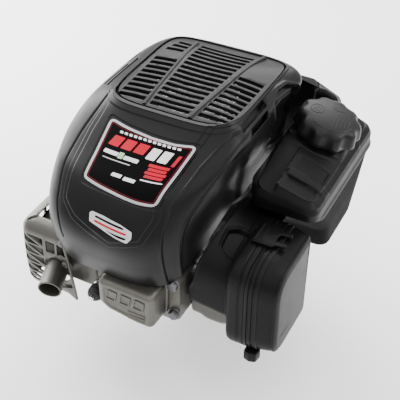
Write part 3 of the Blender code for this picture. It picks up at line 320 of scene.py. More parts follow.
def turned(name, profile, look, body, origin=(0, 0, 0), axis=(0, 0, 1), count=64, loop=False,
           stands_for=(), soft=0.4):
    matrix = aim(origin, axis)
    line = softened(profile, soft, 3, loop) if soft else profile
    return from_bm(name, skin([circle(r, h, count, matrix) for r, h in line], loop=loop), look, body,
                   stands_for)


def rounded(corners, radii, steps=8):
    out = []
    total = len(corners)
    for i, corner in enumerate(corners):
        here = Vector(corner)
        before = (Vector(corners[i - 1]) - here).normalized()
        after = (Vector(corners[(i + 1) % total]) - here).normalized()
        radius = radii[i] if isinstance(radii, (list, tuple)) else radii
        half = before.angle(after) / 2
        reach = radius / max(abs(sin(half) / max(cos(half), 1e-6)), 1e-6)
        first, last = here + before * reach, here + after * reach
        for k in range(steps + 1):
            t = k / steps
            out.append(first * (1 - t) ** 2 + here * 2 * t * (1 - t) + last * t * t)
    return out


def resampled(outline, count):
    lengths = [0.0]
    total = len(outline)
    for i in range(total):
        lengths.append(lengths[-1] + (outline[(i + 1) % total] - outline[i]).length)
    out = []
    segment = 0
    for k in range(count):
        target = lengths[-1] * k / count
        while lengths[segment + 1] < target:
            segment += 1
        t = (target - lengths[segment]) / max(lengths[segment + 1] - lengths[segment], 1e-9)
        out.append(outline[segment].lerp(outline[(segment + 1) % total], t))
    return out


def inset(outline, distance):
    out = []
    total = len(outline)
    for i, here in enumerate(outline):
        along = outline[(i + 1) % total] - outline[i - 1]
        normal = Vector((-along.y, along.x)).normalized()
        out.append(here + normal * distance)
    return out


def lifted(outline, plane, value):
    if plane == "XY":
        return [Vector((p.x, p.y, value)) for p in outline]
    if plane == "XZ":
        return [Vector((p.x, value, p.y)) for p in outline]
    return [Vector((value, p.x, p.y)) for p in outline]


def slab(name, outline, plane, start, end, look, body, edge=0.6, stands_for=(), rise=3):
    """Flat-sided solid from a 2-D outline with rounded top and bottom edges."""
    flat = [Vector(p) for p in outline]
    area = sum(a.x * b.y - b.x * a.y for a, b in zip(flat, flat[1:] + flat[:1]))
    if area < 0:
        flat = flat[::-1]
    way = 1 if end > start else -1
    rings = []
    for k in range(rise + 1):
        t = pi / 2 * k / rise
        rings.append(lifted(inset(flat, edge * (1 - sin(t))), plane, start + way * edge * (1 - cos(t))))
    for k in range(rise + 1):
        t = pi / 2 * k / rise
        rings.append(lifted(inset(flat, edge * (1 - cos(t))), plane, end - way * edge * (1 - sin(t))))
    return from_bm(name, skin(rings), look, body, stands_for)


def box_bm(bm, x, y, z, skew=0.0):
    low = [Vector((x[0], y[0], z[0])), Vector((x[1], y[0], z[0])), Vector((x[1] + skew, y[1], z[0])),
           Vector((x[0] + skew, y[1], z[0]))]
    skin([low, [p + Vector((0, 0, z[1] - z[0])) for p in low]], bm=bm)


def helper(name, bm):
    made = from_bm(name, bm, "dark", None)
    made.hide_render = True
    made.hide_viewport = True
    return made


def boolean(target, other, operation, solver="MANIFOLD"):
    step = target.modifiers.new(f"{operation.lower()}_{other.name}", "BOOLEAN")
    step.operation = operation
    step.solver = solver
    step.object = other


def bevel(target, width, segments=2, angle=35):
    step = target.modifiers.new("edge_round", "BEVEL")
    step.width = width * MM
    step.segments = segments
    step.angle_limit = radians(angle)
    step.harden_normals = False


def rods(items, count=32):
    bm = bmesh.new()
    for start, end, radius in items:
        span = Vector(end) - Vector(start)
        matrix = aim(start, span)
        skin([circle(radius, 0, count, matrix), circle(radius, span.length, count, matrix)], bm=bm)
    return bm


def tube_along(points, radius, count=16, bm=None, caps=True, flat=1.0):
    """Round (or flattened) bar swept along points."""
    rings = []
    total = len(points)
    side_before = None
    for i, here in enumerate(points):
        along = (points[min(i + 1, total - 1)] - points[max(i - 1, 0)]).normalized()
        side = side_before if side_before else along.orthogonal().normalized()
        side = (side - along * side.dot(along)).normalized()
        side_before = side
        other = along.cross(side)
        size = radius(i / (total - 1)) if callable(radius) else radius
        rings.append([here + side * (size * cos(a)) + other * (size * flat * sin(a))
                      for a in (2 * pi * k / count for k in range(count))])
    return skin(rings, caps=(caps, caps), bm=bm)


def curve_points(points, steps=8):
    """Catmull-Rom through the points."""
    out = []
    last = len(points) - 1
    for i in range(last):
        a, b, c, d = (Vector(points[min(max(k, 0), last)]) for k in (i - 1, i, i + 1, i + 2))
        for k in range(steps):
            t = k / steps
            square, cube = 2 * a - 5 * b + 4 * c - d, 3 * b - a - 3 * c + d
            out.append(0.5 * (2 * b + (c - a) * t + square * t * t + cube * t ** 3))
    out.append(Vector(points[-1]))
    return out


def step_up(value, low, high):
    t = np.clip((value - low) / (high - low), 0, 1)
    return t * t * (3 - 2 * t)


def line_distance(px, py, corners, closed=True):
    """Distance of points to a polyline, negative inside when it is closed."""
    best = np.full(px.shape, 1e9)
    inside = np.zeros(px.shape, bool)
    total = len(corners)
    for i in range(total if closed else total - 1):
        ax, ay = corners[i]
        bx, by = corners[(i + 1) % total]
        dx, dy = bx - ax, by - ay
        t = np.clip(((px - ax) * dx + (py - ay) * dy) / (dx * dx + dy * dy), 0, 1)
        best = np.minimum(best, np.hypot(px - ax - t * dx, py - ay - t * dy))
        crosses = (ay > py) != (by > py)
        with np.errstate(divide="ignore", invalid="ignore"):
            at = ax + (py - ay) * dx / (dy if dy else 1e-9)
        inside ^= crosses & (px < at)
    return np.where(inside, -best, best) if closed else best


def soft_line(corners, per=6):
    """Closed 2-D polyline with rounded corners."""
    return [(p.x, p.y) for p in rounded(corners, per, 6)]


def grid_object(name, points, look, body, closed_u=True, wall=0.0, stands_for=(), sharp=40):
    """Sheet through an array of points [rows, columns, 3]; closed_u joins the last column to the first."""
    rows, columns, _ = points.shape
    index = np.arange(rows * columns).reshape(rows, columns)
    if closed_u:
        right_of = np.roll(index, -1, axis=1)
        a, b, c, d = index[:-1], right_of[:-1], right_of[1:], index[1:]
    else:
        a, b, c, d = index[:-1, :-1], index[:-1, 1:], index[1:, 1:], index[1:, :-1]
    faces = np.stack([a, b, c, d], -1).reshape(-1, 4)
    corner = points.reshape(-1, 3)[faces]
    facing = np.cross(corner[:, 2] - corner[:, 0], corner[:, 3] - corner[:, 1])
    if np.sum(facing * (corner.mean(1) - points.reshape(-1, 3).mean(0))) < 0:
        faces = faces[:, ::-1]
    mesh = bpy.data.meshes.new(name)
    mesh.from_pydata(points.reshape(-1, 3).tolist(), [], faces.tolist())
    mesh.validate()
    made = finish(name, mesh, look, body, stands_for, sharp)
    if wall:
        step = made.modifiers.new("wall", "SOLIDIFY")
        step.thickness = wall * MM
        step.offset = -1
        step.use_even_offset = False
    return made


def sheet_normals(points, closed_u=True):
    if closed_u:
        du = np.roll(points, -1, axis=1) - np.roll(points, 1, axis=1)
    else:
        du = np.gradient(points, axis=1)
    dv = np.gradient(points, axis=0)
    normal = np.cross(dv, du)
    return normal / np.maximum(np.linalg.norm(normal, axis=-1, keepdims=True), 1e-9)


# ---------------------------------------------------------------- blower housing
HOUSING_LEVELS = (
    (-81, 79, -70, 110, 262, 259, 258, 250, 5.0),
    (-97, 88, -94, 121, 247, 254, 252, 246, 4.0),
    (-112, 93, -132, 130, 232, 244, 242, 237, 3.3),
    (-119, 93, -170, 136, 217, 228, 225, 220, 2.8),
    (-122, 91, -192, 138, 189, 204, 208, 200, 2.6),
    (-122, 88, -201, 139, 166, 180, 190, 175, 2.5),
    (-121, 86, -196, 138, 135, 158, 170, 150, 2.6),
    (-118, 84, -186, 137, 103, 138, 152, 125, 2.8),
)
RIGHT_SQUARENESS = (0, 0, 0, 0.1, 0.3, 0.5, 0.6, 0.6)
REAR_SQUARENESS = (0, 0, 0, 0.2, 0.8, 1.6, 1.8, 1.8)
LEFT_SQUARENESS = (0, 0, 0, 0.1, 0.35, 0.6, 0.9, 1.0)
HUMP_HEIGHTS = (4, 13, 20, 18, 9, 2, 0, 0)
CAP_ORIGIN = np.array((136.5, 78.0, 186.0))
CAP_TILT = radians(15)
CAP_AXIS = np.array((sin(CAP_TILT), 0, cos(CAP_TILT)))


def level_rows(table, level):
    rows = np.array(table, float)
    last = len(rows) - 1
    level = np.asarray(level, float)
    i = np.minimum(level.astype(int), last - 1)
    t = (level - i)[..., None]
    a, b, c, d = (rows[np.clip(i + k, 0, last)] for k in (-1, 0, 1, 2))
    return 0.5 * (2 * b + (c - a) * t + (2 * a - 5 * b + 4 * c - d) * t ** 2
                  + (3 * b - a - 3 * c + d) * t ** 3)


def housing(turn, level):
    """Outer surface of the blower housing at arrays of directions and levels."""
    turn, level = np.broadcast_arrays(np.asarray(turn, float), np.asarray(level, float))
    left, right_x, front, rear, z_front, z_left, z_right, z_rear, square = np.moveaxis(
        level_rows(HOUSING_LEVELS, level), -1, 0)
    hump, tight_right, tight_rear, tight_left = np.moveaxis(
        level_rows(list(zip(HUMP_HEIGHTS, RIGHT_SQUARENESS, REAR_SQUARENESS, LEFT_SQUARENESS)), level),
                                                            -1, 0)
    c, s = np.cos(turn), np.sin(turn)
    on_left = np.where(s < 0, tight_left, 0)
    square = square + np.where(c > 0, np.where(s > 0, tight_rear, tight_right), on_left)
    away = np.abs((turn - radians(42) + pi) % (2 * pi) - pi) / radians(24)
    bulge = 1 + hump * np.exp(-away * away) / 100
    x = (left + right_x) / 2 + (right_x - left) / 2 * np.abs(c) ** (2 / square) * np.sign(c) * bulge
    y = (front + rear) / 2 + (rear - front) / 2 * np.abs(s) ** (2 / square) * np.sign(s)
    side, end = np.where(c > 0, z_right, z_left), np.where(s > 0, z_rear, z_front)
    share = np.where((c > 0) & (s < 0), c ** 6, c * c)
    point = np.stack([x, y, side * share + end * (1 - share)], -1)
    along = (point - CAP_ORIGIN) @ CAP_AXIS
    out = point - (CAP_ORIGIN + along[..., None] * CAP_AXIS)
    far = np.linalg.norm(out, axis=-1)
    push = np.where((point[..., 2] > 185) & (far < 47), 47 - far, 0)
    return point + out / np.maximum(far, 1e-6)[..., None] * push[..., None]


SHELL_INSET = 1.6
SHELL_WALL = 1.8
RIM_TOP_Z = 261.4
fine_levels = np.linspace(0, 7, 281)
middle_turns = housing(np.full(281, -pi / 2), fine_levels)
run = np.concatenate([[0], np.cumsum(np.linalg.norm(np.diff(middle_turns, axis=0), axis=1))])


def run_of(level):
    """Distance down the front of the housing from the grille rim to a level."""
    return np.interp(level, fine_levels, run)


def front_turn(x, level):
    """Direction at which the front half of the housing has this x."""
    low, high = np.full(np.shape(x), -pi), np.zeros(np.shape(x))
    for _ in range(40):
        mid = (low + high) / 2
        here = housing(mid, level)[..., 0]
        low, high = np.where(here < x, mid, low), np.where(here < x, high, mid)
    return (low + high) / 2


def spot(x, level):
    """Place on the front as x and distance down from the grille rim."""
    return x, float(run_of(level))


# Creases of the front: (x, level) for the two upright ridges at the right, (x, run) for the left shoulder
RIDGE_NEAR = ((80, 0.6), (71, 1.28), (65, 1.79), (62, 2.34), (58, 2.94), (54, 3.4), (53.5, 3.8),
              (54, 5.0), (54, 7.0))
RIDGE_FAR = ((90, 2.4), (86, 2.94), (79, 3.45), (72, 4.03), (69, 4.87), (67, 6.16), (66, 7.0))
SHOULDER = [spot(-82, 0.5), spot(-84, 2.0), spot(-82, 3.15), spot(-76, 4.1),
            spot(-68, 4.9), spot(-64, 5.6)]

# Finger scoop beside the fuel cap, in (y, z)
SCOOP = soft_line([(27, 180), (25, 222), (19, 247), (40, 254), (62, 252), (80, 242), (86, 222),
                   (88, 180)], 12)
SCOOP_FLOOR = soft_line([(33, 180), (31, 214), (28, 230), (48, 236), (72, 232), (80, 218), (80, 180)], 9)

# Raised shield round the label, in (x, run) with two terraces, and the shoulder lines outside it
SHIELD = soft_line([(-78, -40), spot(-77, 1.64), spot(-72, 2.9), spot(-68, 3.85),
                    spot(-49, 4.33), spot(1, 5.05), spot(38, 4.66),
                    spot(49, 3.6), spot(47, 2.84), spot(52, 1.6), (68, -40)], 7)
LABEL_POCKET = soft_line([spot(-61, 0.86), spot(-50.5, 3.1), spot(0, 3.17),
                          spot(45, 3.34), spot(56, 0.97), spot(28, 1.06),
                          spot(0, 1.06), spot(-30, 0.98)], 6)


def housing_relief(points, turn, level):
    """Height of the moulded terraces and creases over the plain surface."""
    x, y = points[..., 0], points[..., 1]
    down = run_of(level)
    front_side = step_up(-y, 40, 60)
    shield = line_distance(x, down, SHIELD)
    lift = (1.5 * step_up(-shield, -0.7, 0.7) + 1.3 * step_up(-shield, 6.0, 7.4)) * front_side
    pocket = line_distance(x, down, LABEL_POCKET)
    lift = lift - 1.1 * step_up(-pocket, -0.6, 0.6)
    lift = lift + 1.3 * (1 - step_up(level, 0.28, 0.33))
    lift = lift + 1.2 * (1 - step_up(level, 0.55, 0.60)) * front_side
    shoulder = line_distance(x, down, SHOULDER, closed=False)
    lift = lift - 1.5 * np.exp(-(shoulder / 1.2) ** 2) * step_up(-y, 45, 60)
    for corner, depth in ((RIDGE_NEAR, 1.5), (RIDGE_FAR, 1.1)):
        at, low = np.array(corner, float).T
        beyond = x - np.interp(level, low, at)
        on_ridge = step_up(level, low[0], low[0] + 0.5) * front_side * (np.cos(turn) > 0)
        lift = lift + on_ridge * (0.8 * np.exp(-(beyond / 1.3) ** 2) - depth * step_up(beyond, 0.5, 3.0))
    beside_cap = step_up(x, 62, 74)
    scoop = line_distance(y, points[..., 2], SCOOP)
    inner = line_distance(y, points[..., 2], SCOOP_FLOOR)
    lift = lift + beside_cap * (1.1 * np.exp(-((scoop - 1.2) / 1.3) ** 2)
                                - 7.5 * step_up(-scoop, 0, 3.5) * step_up(points[..., 2], 188, 202))
    return lift + beside_cap * 1.2 * np.exp(-(inner / 1.0) ** 2) * step_up(points[..., 2], 195, 210)


front_turns = np.linspace(radians(-168), radians(-8), 600)
rest_turns = np.linspace(radians(-8), radians(192), 250)[1:-1]
turns = np.concatenate([front_turns, rest_turns])
levels = np.concatenate([np.linspace(0, 1, 60)[:-1], np.linspace(1, 5.4, 260)[:-1],
                         np.linspace(5.4, 7, 50)])
turn_grid, level_grid = np.meshgrid(turns, levels)
surface = housing(turn_grid, level_grid)
normals = sheet_normals(surface)
if np.mean(normals[150, :, 0] * np.cos(turns)) < 0:
    normals = -normals
surface = surface + normals * (housing_relief(surface, turn_grid, level_grid) - SHELL_INSET)[..., None]
surface[..., 2] = np.minimum(surface[..., 2], RIM_TOP_Z)
shell = grid_object("shroud_shell", surface, "shroud", "engine_block", wall=SHELL_WALL,
                    stands_for=["blower_housing"])
vents = bmesh.new()
lower_vents = bmesh.new()


def slot_form(start, end, width, axis, bm, reach=7):
    """Slanted slot cutter between two points of the surface, pushed through along an axis."""
    start, end, axis = Vector(start), Vector(end), Vector(axis).normalized()
    along = (end - start).normalized()
    side = axis.cross(along).normalized() * width / 2
    skew = along * width * 0.35
    low = [start - side - skew, end - side, end + side + skew, start + side]
    skin([[p - axis * reach for p in low], [p + axis * reach for p in low]], bm=bm)


for start, end, width, axis, bm in (
        ((83.5, -46, 251), (84.5, 8, 253), 8.5, (0.6, 0, 0.8), vents),
        ((92.5, -36, 243), (93.5, 2, 244), 9, (0.85, 0, 0.53), lower_vents),
        ((-103, -36, 251), (-99, 12, 253), 3.4, (-0.35, 0, 0.93), vents),
        ((-95.5, -40, 254), (-93.5, 26, 256), 3.4, (-0.25, 0, 0.97), lower_vents),
        ((-106, 22, 250), (-102, 46, 250), 3.4, (-0.45, 0, 0.9), vents),
        ((53, 112, 248), (65, 109, 248), 4.5, (0, 0.4, 0.9), vents)):
    slot_form(start, end, width, axis, bm)
EYELET = Vector((-38.0, 135.5, 215.0))
skin([circle(7, -25, 32, aim(EYELET, (0, 1, 0))), circle(7, 25, 32, aim(EYELET, (0, 1, 0)))], bm=vents)
boolean(shell, helper("vent_forms", vents), "DIFFERENCE")
boolean(shell, helper("lower_vent_forms", lower_vents), "DIFFERENCE")

# Dark air duct inside the housing, seen through the vents
duct_turns, duct_levels = np.meshgrid(np.linspace(-pi, pi, 160, endpoint=False),
                                      np.linspace(0.35, 4.4, 40))
duct = housing(duct_turns, duct_levels)
duct_normals = sheet_normals(duct)
if np.mean(duct_normals[20, :, 0] * np.cos(duct_turns[20])) < 0:
    duct_normals = -duct_normals
duct_depth = 7.5 + 9 * step_up(duct[..., 0], 55, 70) * step_up(duct[..., 1], 8, 16)
grid_object("shroud_duct", duct - duct_normals * duct_depth[..., None], "dark", "engine_block", wall=1.2)


def on_front(x, level, lift):
    """Points on the relieved front at x and level arrays, lifted along the normal."""
    turn = front_turn(x, level)
    here = housing(turn, level)
    du = housing(turn + 0.01, level) - housing(turn - 0.01, level)
    dv = housing(turn, level + 0.02) - housing(turn, level - 0.02)
    normal = np.cross(dv, du)
    normal /= np.linalg.norm(normal, axis=-1, keepdims=True)
    normal = np.where(normal[..., 1:2] > 0, -normal, normal)
    return here + normal * (lift - SHELL_INSET)


def level_at(x, down):
    return np.interp(down, run, fine_levels)


def film(name, outline, holes, lift, thick, look, rings=10):
    """Thin plate on the housing's front from an outline in (x, run), open inside holes when given."""
    outer = np.array(outline, float)
    if holes is None:
        centre = outer.mean(0)
        layers = [centre + (outer - centre) * s for s in np.linspace(0.02, 1, rings)]
    else:
        inner = np.array(holes, float)
        layers = [inner + (outer - inner) * s for s in np.linspace(0, 1, 4)]
    flat = np.stack(layers)
    over = on_front(flat[..., 0], level_at(flat[..., 0], flat[..., 1]), lift + thick)
    under = on_front(flat[..., 0], level_at(flat[..., 0], flat[..., 1]), lift)
    rows = [list(map(Vector, row)) for row in over] + [list(map(Vector, row)) for row in under[::-1]]
    bm = skin(rows, loop=holes is not None)
    return from_bm(name, bm, look, "engine_block", sharp=50)


def outline_of(corners, radius, count=120):
    return [(p.x, p.y) for p in resampled(rounded(corners, radius, 8), count)]


LABEL = [spot(-58, 0.97), spot(-48.5, 2.95), spot(-25, 3.04), spot(0, 3.12), spot(22, 3.19),
         spot(42.5, 3.22), spot(53, 1.07), spot(28, 1.16), spot(0, 1.16), spot(-30, 1.08)]
LABEL_RADII = [7, 7, 0.5, 0.5, 0.5, 7, 7, 0.5, 0.5, 0.5]


def shrunk(corners, by):
    flat = [Vector(p) for p in corners]
    area = sum(a.x * b.y - b.x * a.y for a, b in zip(flat, flat[1:] + flat[:1]))
    return inset(flat, by if area > 0 else -by)


def label_ring(by):
    return [(p.x, p.y) for p in shrunk([Vector(p) for p in outline_of(LABEL, LABEL_RADII, 160)], by)]


label_base = film("label_plate", label_ring(0), None, 1.5, 0.7, "film_black", 26)
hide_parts("front_label")
film("label_border", label_ring(0), label_ring(3.0), 2.22, 0.2, "film_silver")
film("label_red_line", label_ring(4.1), label_ring(5.0), 2.22, 0.12, "film_wine")


LABEL_RUN = float(run_of(1.0))


def stripe(name, x0, x1, d0, d1, slant, look, lift=2.24):
    """Printed parallelogram on the label."""
    d0, d1 = LABEL_RUN + d0, LABEL_RUN + d1
    corners = [(x0, d1), (x1, d1), (x1 + slant, d0), (x0 + slant, d0)]
    film(name, outline_of(corners, 0.5, 40), None, lift, 0.1, look, 4)


for number, x in enumerate(range(-40, 36, 6)):
    stripe(f"label_dash_{number}", x + 2, x + 6, 10, 13, -0.8, "film_white")
for number in range(3):
    stripe(f"label_red_bar_{number}", -44 + number * 16, -31 + number * 16, 17, 31, 3, "film_red")
for number in range(2):
    stripe(f"label_white_bar_{number}", 5 + number * 14, 16 + number * 14, 18, 34, 3, "film_white")
for values in (
        ("label_red_post", 36, 40, 20, 36, 3, "film_red"),
        ("label_mid_bar_left", -44, -26, 37, 42, 0.5, "film_white"),
        ("label_mid_bar_right", -18, 0, 38, 43, 0.5, "film_white"),
        ("label_dot", -25, -19, 35.5, 43.5, 0, "film_green"),
        ("label_thin_bar", -42, -6, 47, 48.2, 0.2, "film_silver")):
    stripe(*values)
for number in range(4):
    stripe(f"label_block_{number}", 13 + (number % 2) * 1.5, 37 - (number % 2) * 1.5, 38 + number * 5,
           42 + number * 5, 0.5, "film_red")
for values in (
        ("label_block_rule", 13, 38, 60, 61.6, 0.2, "film_white"),
        ("label_foot_left", -20, -8, 62, 66.5, 0.6, "film_white"),
        ("label_foot_right", -5, 9, 63, 67.5, 0.6, "film_white")):
    stripe(*values)

# Plain badge: a bevelled six-sided plate with a raised rim and three level bars
badge_d = float(run_of(4.02))
BADGE = [(-27, badge_d - 7), (-25, badge_d + 2), (-13, badge_d + 5), (8, badge_d + 11),
         (22, badge_d + 14),
         (26, badge_d + 8.5), (25, badge_d + 1), (12, badge_d - 4.5), (-10, badge_d - 8.5),
         (-24, badge_d - 9.5)]
badge_ring = [Vector(p) for p in outline_of(BADGE, 2.2, 120)]
rings_of = {by: [(p.x, p.y) for p in shrunk(badge_ring, by)] for by in (0, 1.6, 2.2)}
badge = film("badge_plate", rings_of[0], None, 1.9, 1.2, "badge", 12)
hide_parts("front_badge")
film("badge_rim", rings_of[0], rings_of[1.6], 3.1, 0.5, "badge")
for number, (x0, x1, d) in enumerate(((-20, 16, -5.2), (-20, 20, -0.2), (-10, 20, 5.0))):
    corners = [(x0, badge_d + d - 1.1 + 0.13 * (x0 + 20)), (x1, badge_d + d - 1.1 + 0.13 * (x1 + 20)),
               (x1, badge_d + d + 1.1 + 0.13 * (x1 + 20)), (x0, badge_d + d + 1.1 + 0.13 * (x0 + 20))]
    film(f"badge_bar_{number}", outline_of(corners, 0.8, 48), None, 3.1, 0.25, "film_black"
         if number != 1 else "film_red", 4)

# ---------------------------------------------------------------- top grille


def grille_height(x, y):
    """Top of the domed grille over x, y."""
    turn = atan2((y - 20) / 90, (x + 1) / 80)
    rim = housing(turn, 0.0)
    centre = np.array((-3.0, 10.0, 264.2))
    reach = np.hypot(rim[0] - centre[0], rim[1] - centre[1])
    share = min(1, float(np.hypot(x - centre[0], y - centre[1]) / max(reach, 1)))
    return float(rim[2] + (centre[2] - rim[2]) * (1 - share ** 2.5))


def grille_ring(scale, drop, count=144):
    rim = housing(np.linspace(0, 2 * pi, count, endpoint=False), 0.0)
    centre = np.array((-3.0, 10.0, 264.2))
    point = centre + (rim - centre) * scale
    point[:, 2] = rim[:, 2] + (centre[2] - rim[:, 2]) * (1 - scale ** 2.5) - drop
    return [Vector(p) for p in point]


grille_scales = [0.02, 0.1, 0.2, 0.3, 0.4, 0.5, 0.6, 0.7, 0.8, 0.88, 0.94, 0.972]
plate = from_bm("grille_plate", skin([grille_ring(s, 2.2) for s in grille_scales]
                                     + [grille_ring(0.975, 2.8)]
                                     + [grille_ring(s, 6.4) for s in grille_scales[::-1]]), "grille",
                "engine_block",
                ["top_grille"])
slots = bmesh.new()


def bar_slot(x0, x1, y, width, sag):
    """Slot between two bars, sagging towards its middle."""
    steps = np.linspace(x0, x1, 9)
    bend = [sag * (1 - (2 * k / 8 - 1) ** 2) for k in range(9)]
    near = [Vector((x, y + b, 225)) for x, b in zip(steps, bend)]
    far = [Vector((x, y + width + b, 225)) for x, b in zip(steps, bend)]
    outline = near + far[::-1]
    skin([outline, [p + Vector((0, 0, 60)) for p in outline]], bm=slots)


for index in range(15):
    y = -63 + index * 10.4
    bar_slot(-25.0 - 0.082 * (y + 63), 24.0 + 0.075 * (y + 63), y, 6.6, -1.6 if index else 0)
for index in range(9):
    y = -58 + index * 11.0
    t = (y + 58) / 100
    bar_slot(-69 - 4 * t, -33.5 - 8 * t, y - 2.0, 7.0, 0)
    bar_slot(34 + 7.5 * t, 71 + 1.5 * t, y - 2.0, 7.0, 0)
for index in range(3):
    bar_slot(-71 + 3 * index, -47, 55 + index * 11, 6.5, 0)
boolean(plate, helper("grille_slot_forms", slots), "DIFFERENCE")
bevel(plate, 0.8, 2, 40)
ribs = bmesh.new()
for rib in (((-29.5, -66), (-45.5, 92)), ((28.8, -67), (42.5, 101))):
    (x0, y0), (x1, y1) = rib
    line = []
    for k in range(41):
        t = k / 40
        x, y = x0 + (x1 - x0) * t, y0 + (y1 - y0) * t
        line.append(Vector((x, y, grille_height(x, y) - 3.7)))
    tube_along(line, 2.9, 12, ribs)
from_bm("grille_ribs", ribs, "grille", "engine_block")

# ---------------------------------------------------------------- side cover
COVER_RIGHT_X = 114.5


def cover_rows(rows=90, columns=184):
    """Outer surface of the side cover: rows across its width, columns from the front edge to the rear."""
    out = np.zeros((rows, columns, 3))
    for i in range(rows):
        t = i / (rows - 1)
        front_y = -147 + 9 * t
        low_z = 66 - 16 * t
        top_z = 148 - 13 * t
        corners = [(front_y + 1.5, low_z), (front_y, low_z + 20), (front_y, top_z - 48),
                   (front_y + 3, top_z - 32),
                   (front_y + 12, top_z - 17), (front_y + 26, top_z - 8), (front_y + 48, top_z - 2),
                   (front_y + 72, top_z + 1), (-46, top_z + 2), (-24, top_z - 6), (-13, top_z - 20),
                   (-10, top_z - 52)]
        line = curve_points([(y, z, 0) for y, z in corners], 14)
        lengths = np.concatenate([[0], np.cumsum([(b - a).length for a, b in zip(line, line[1:])])])
        at = np.linspace(0, lengths[-1], columns)
        y = np.interp(at, lengths, [p.x for p in line])
        z = np.interp(at, lengths, [p.y for p in line])
        high = 72.6 + 14 * np.clip((y + 147) / 72, 0, 1) ** 0.5
        near = np.where(z > 102, high, 68 + (high - 68) * step_up(z, 86, 102))
        out[i, :, 0] = near + (COVER_RIGHT_X - near) * t
        out[i, :, 1] = y
        out[i, :, 2] = z
    return out


cover = cover_rows()
cover_normal = sheet_normals(cover, False)
if cover_normal[45, 20, 1] > 0:
    cover_normal = -cover_normal
spread = np.linspace(0, 1, cover.shape[0])[:, None] * np.ones((1, cover.shape[1]))
across = cover[..., 0]
arc = np.linspace(0, 1, cover.shape[1])[None, :] * np.ones((cover.shape[0], 1))
arc_length = arc * 243
cover_lift = 0.9 * np.exp(-((spread - 0.03) / 0.03) ** 2) + 1.4 * step_up(across, 110.2, 111.4)
cover_lift -= 0.9 * step_up(3.2 - arc_length, 0, 1.6)
recess = line_distance(across, arc_length, soft_line([(93, 92), (92, 118), (102, 128), (122, 130),
                                                      (122, 86), (102, 86)], 8))
cover_lift += 1.0 * np.exp(-((recess - 1.2) / 1.0) ** 2) * (across < 113) - 5.5 * step_up(-recess, 0.2,
                                                                                          3.2)
cover = cover + cover_normal * (cover_lift - 1.5)[..., None]
grid_object("side_cover_shell", cover, "cover", "engine_block", False, 2.2, ["side_cover"],
            50)

# Cooling shield below it
shield_line = curve_points([(-132, 59, 0), (-132.5, 44, 0), (-129, 32, 0), (-119, 23, 0), (-102, 19, 0),
                            (-88, 18, 0)], 10)
shield_rows = np.zeros((60, len(shield_line), 3))
for i, x in enumerate(np.linspace(64.5, 114.5, 60)):
    for j, p in enumerate(shield_line):
        bulge = 3.0 * np.exp(-((x - 92) / 15) ** 4) * np.exp(-((p.y - 30) / 12) ** 2)
        shield_rows[i, j] = (x, p.x - bulge * 0.4, p.y - bulge)
grid_object("shield_panel", shield_rows, "sheet", "engine_block", False, 1.2, ["cylinder_shield"],
            50)

# ---------------------------------------------------------------- fuel tank
TANK_LEVELS = (
    ((118, 165), (38, 124), 12, 43, 0), ((112, 169), (30, 128), 16, 49, 0),
               ((102, 174), (6, 136), 18, 95, 0),
    ((96, 177), (-32, 151), 18, 139, 0), ((92.5, 179.5), (-37, 154), 18, 141, 0),
    ((92.5, 179.5), (-38, 154), 18, 144, 0), ((93, 178), (-46, 152), 16, 148, 0),
    ((93, 178), (-49, 152), 16, 164, -0.1), ((94.5, 176), (-48, 150), 16, 177, -0.25),
    ((100, 170), (-42, 144), 14, 184, -0.3),
)
TANK_COUNT = 240


def tank_ring(values, shrink=0.0):
    x0, x1, y0, y1, radius, z, slope = values
    line = inset(resampled(rounded([(x0, y0), (x1, y0), (x1, y1), (x0, y1)], float(radius)), TANK_COUNT),
                 shrink)
    return np.array([(p.x, p.y, z + slope * (p.x - 127.0)) for p in line])


tank_table = [(a[0], a[1], b[0], b[1], r, z, s) for a, b, r, z, s in TANK_LEVELS]


def straight(a, b, t):
    return tuple(p + (q - p) * t for p, q in zip(a, b))


tank_rings = []
for k in range(3):
    tank_rings += [tank_ring(straight(tank_table[k], tank_table[k + 1], t))
                   for t in np.linspace(0, 1, 10)[:-1]]
for k, steps in ((3, 3), (4, 3), (5, 4), (6, 8), (7, 8)):
    tank_rings += [tank_ring(straight(tank_table[k], tank_table[k + 1], t))
                   for t in np.linspace(0, 1, steps)[:-1]]
for t in np.linspace(0, 1, 8):
    ring = tank_ring(straight(tank_table[8], tank_table[9], sin(t * pi / 2)))
    flat = tank_ring(straight(tank_table[8], tank_table[9], 1 - cos(t * pi / 2)))
    ring[:, 2] = flat[:, 2] * 0.35 + ring[:, 2] * 0.65
    tank_rings.append(ring)
last = tank_rings[-1]
neck_matrix = aim(Vector(CAP_ORIGIN), Vector(CAP_AXIS))
neck = np.array([tuple(p) for p in circle(36, 1.5, TANK_COUNT, neck_matrix)])
angles = np.arctan2(neck[:, 1] - 78, neck[:, 0] - 137)
ring_angle = np.arctan2(last[:, 1] - 78, last[:, 0] - 137)


def matched(ring):
    """Ring round the neck with its points moved to the directions of the tank's last ring."""
    order = np.argsort(angles)
    return np.stack([np.interp(ring_angle, angles[order], ring[order, c], period=2 * pi)
                     for c in range(3)], 1)


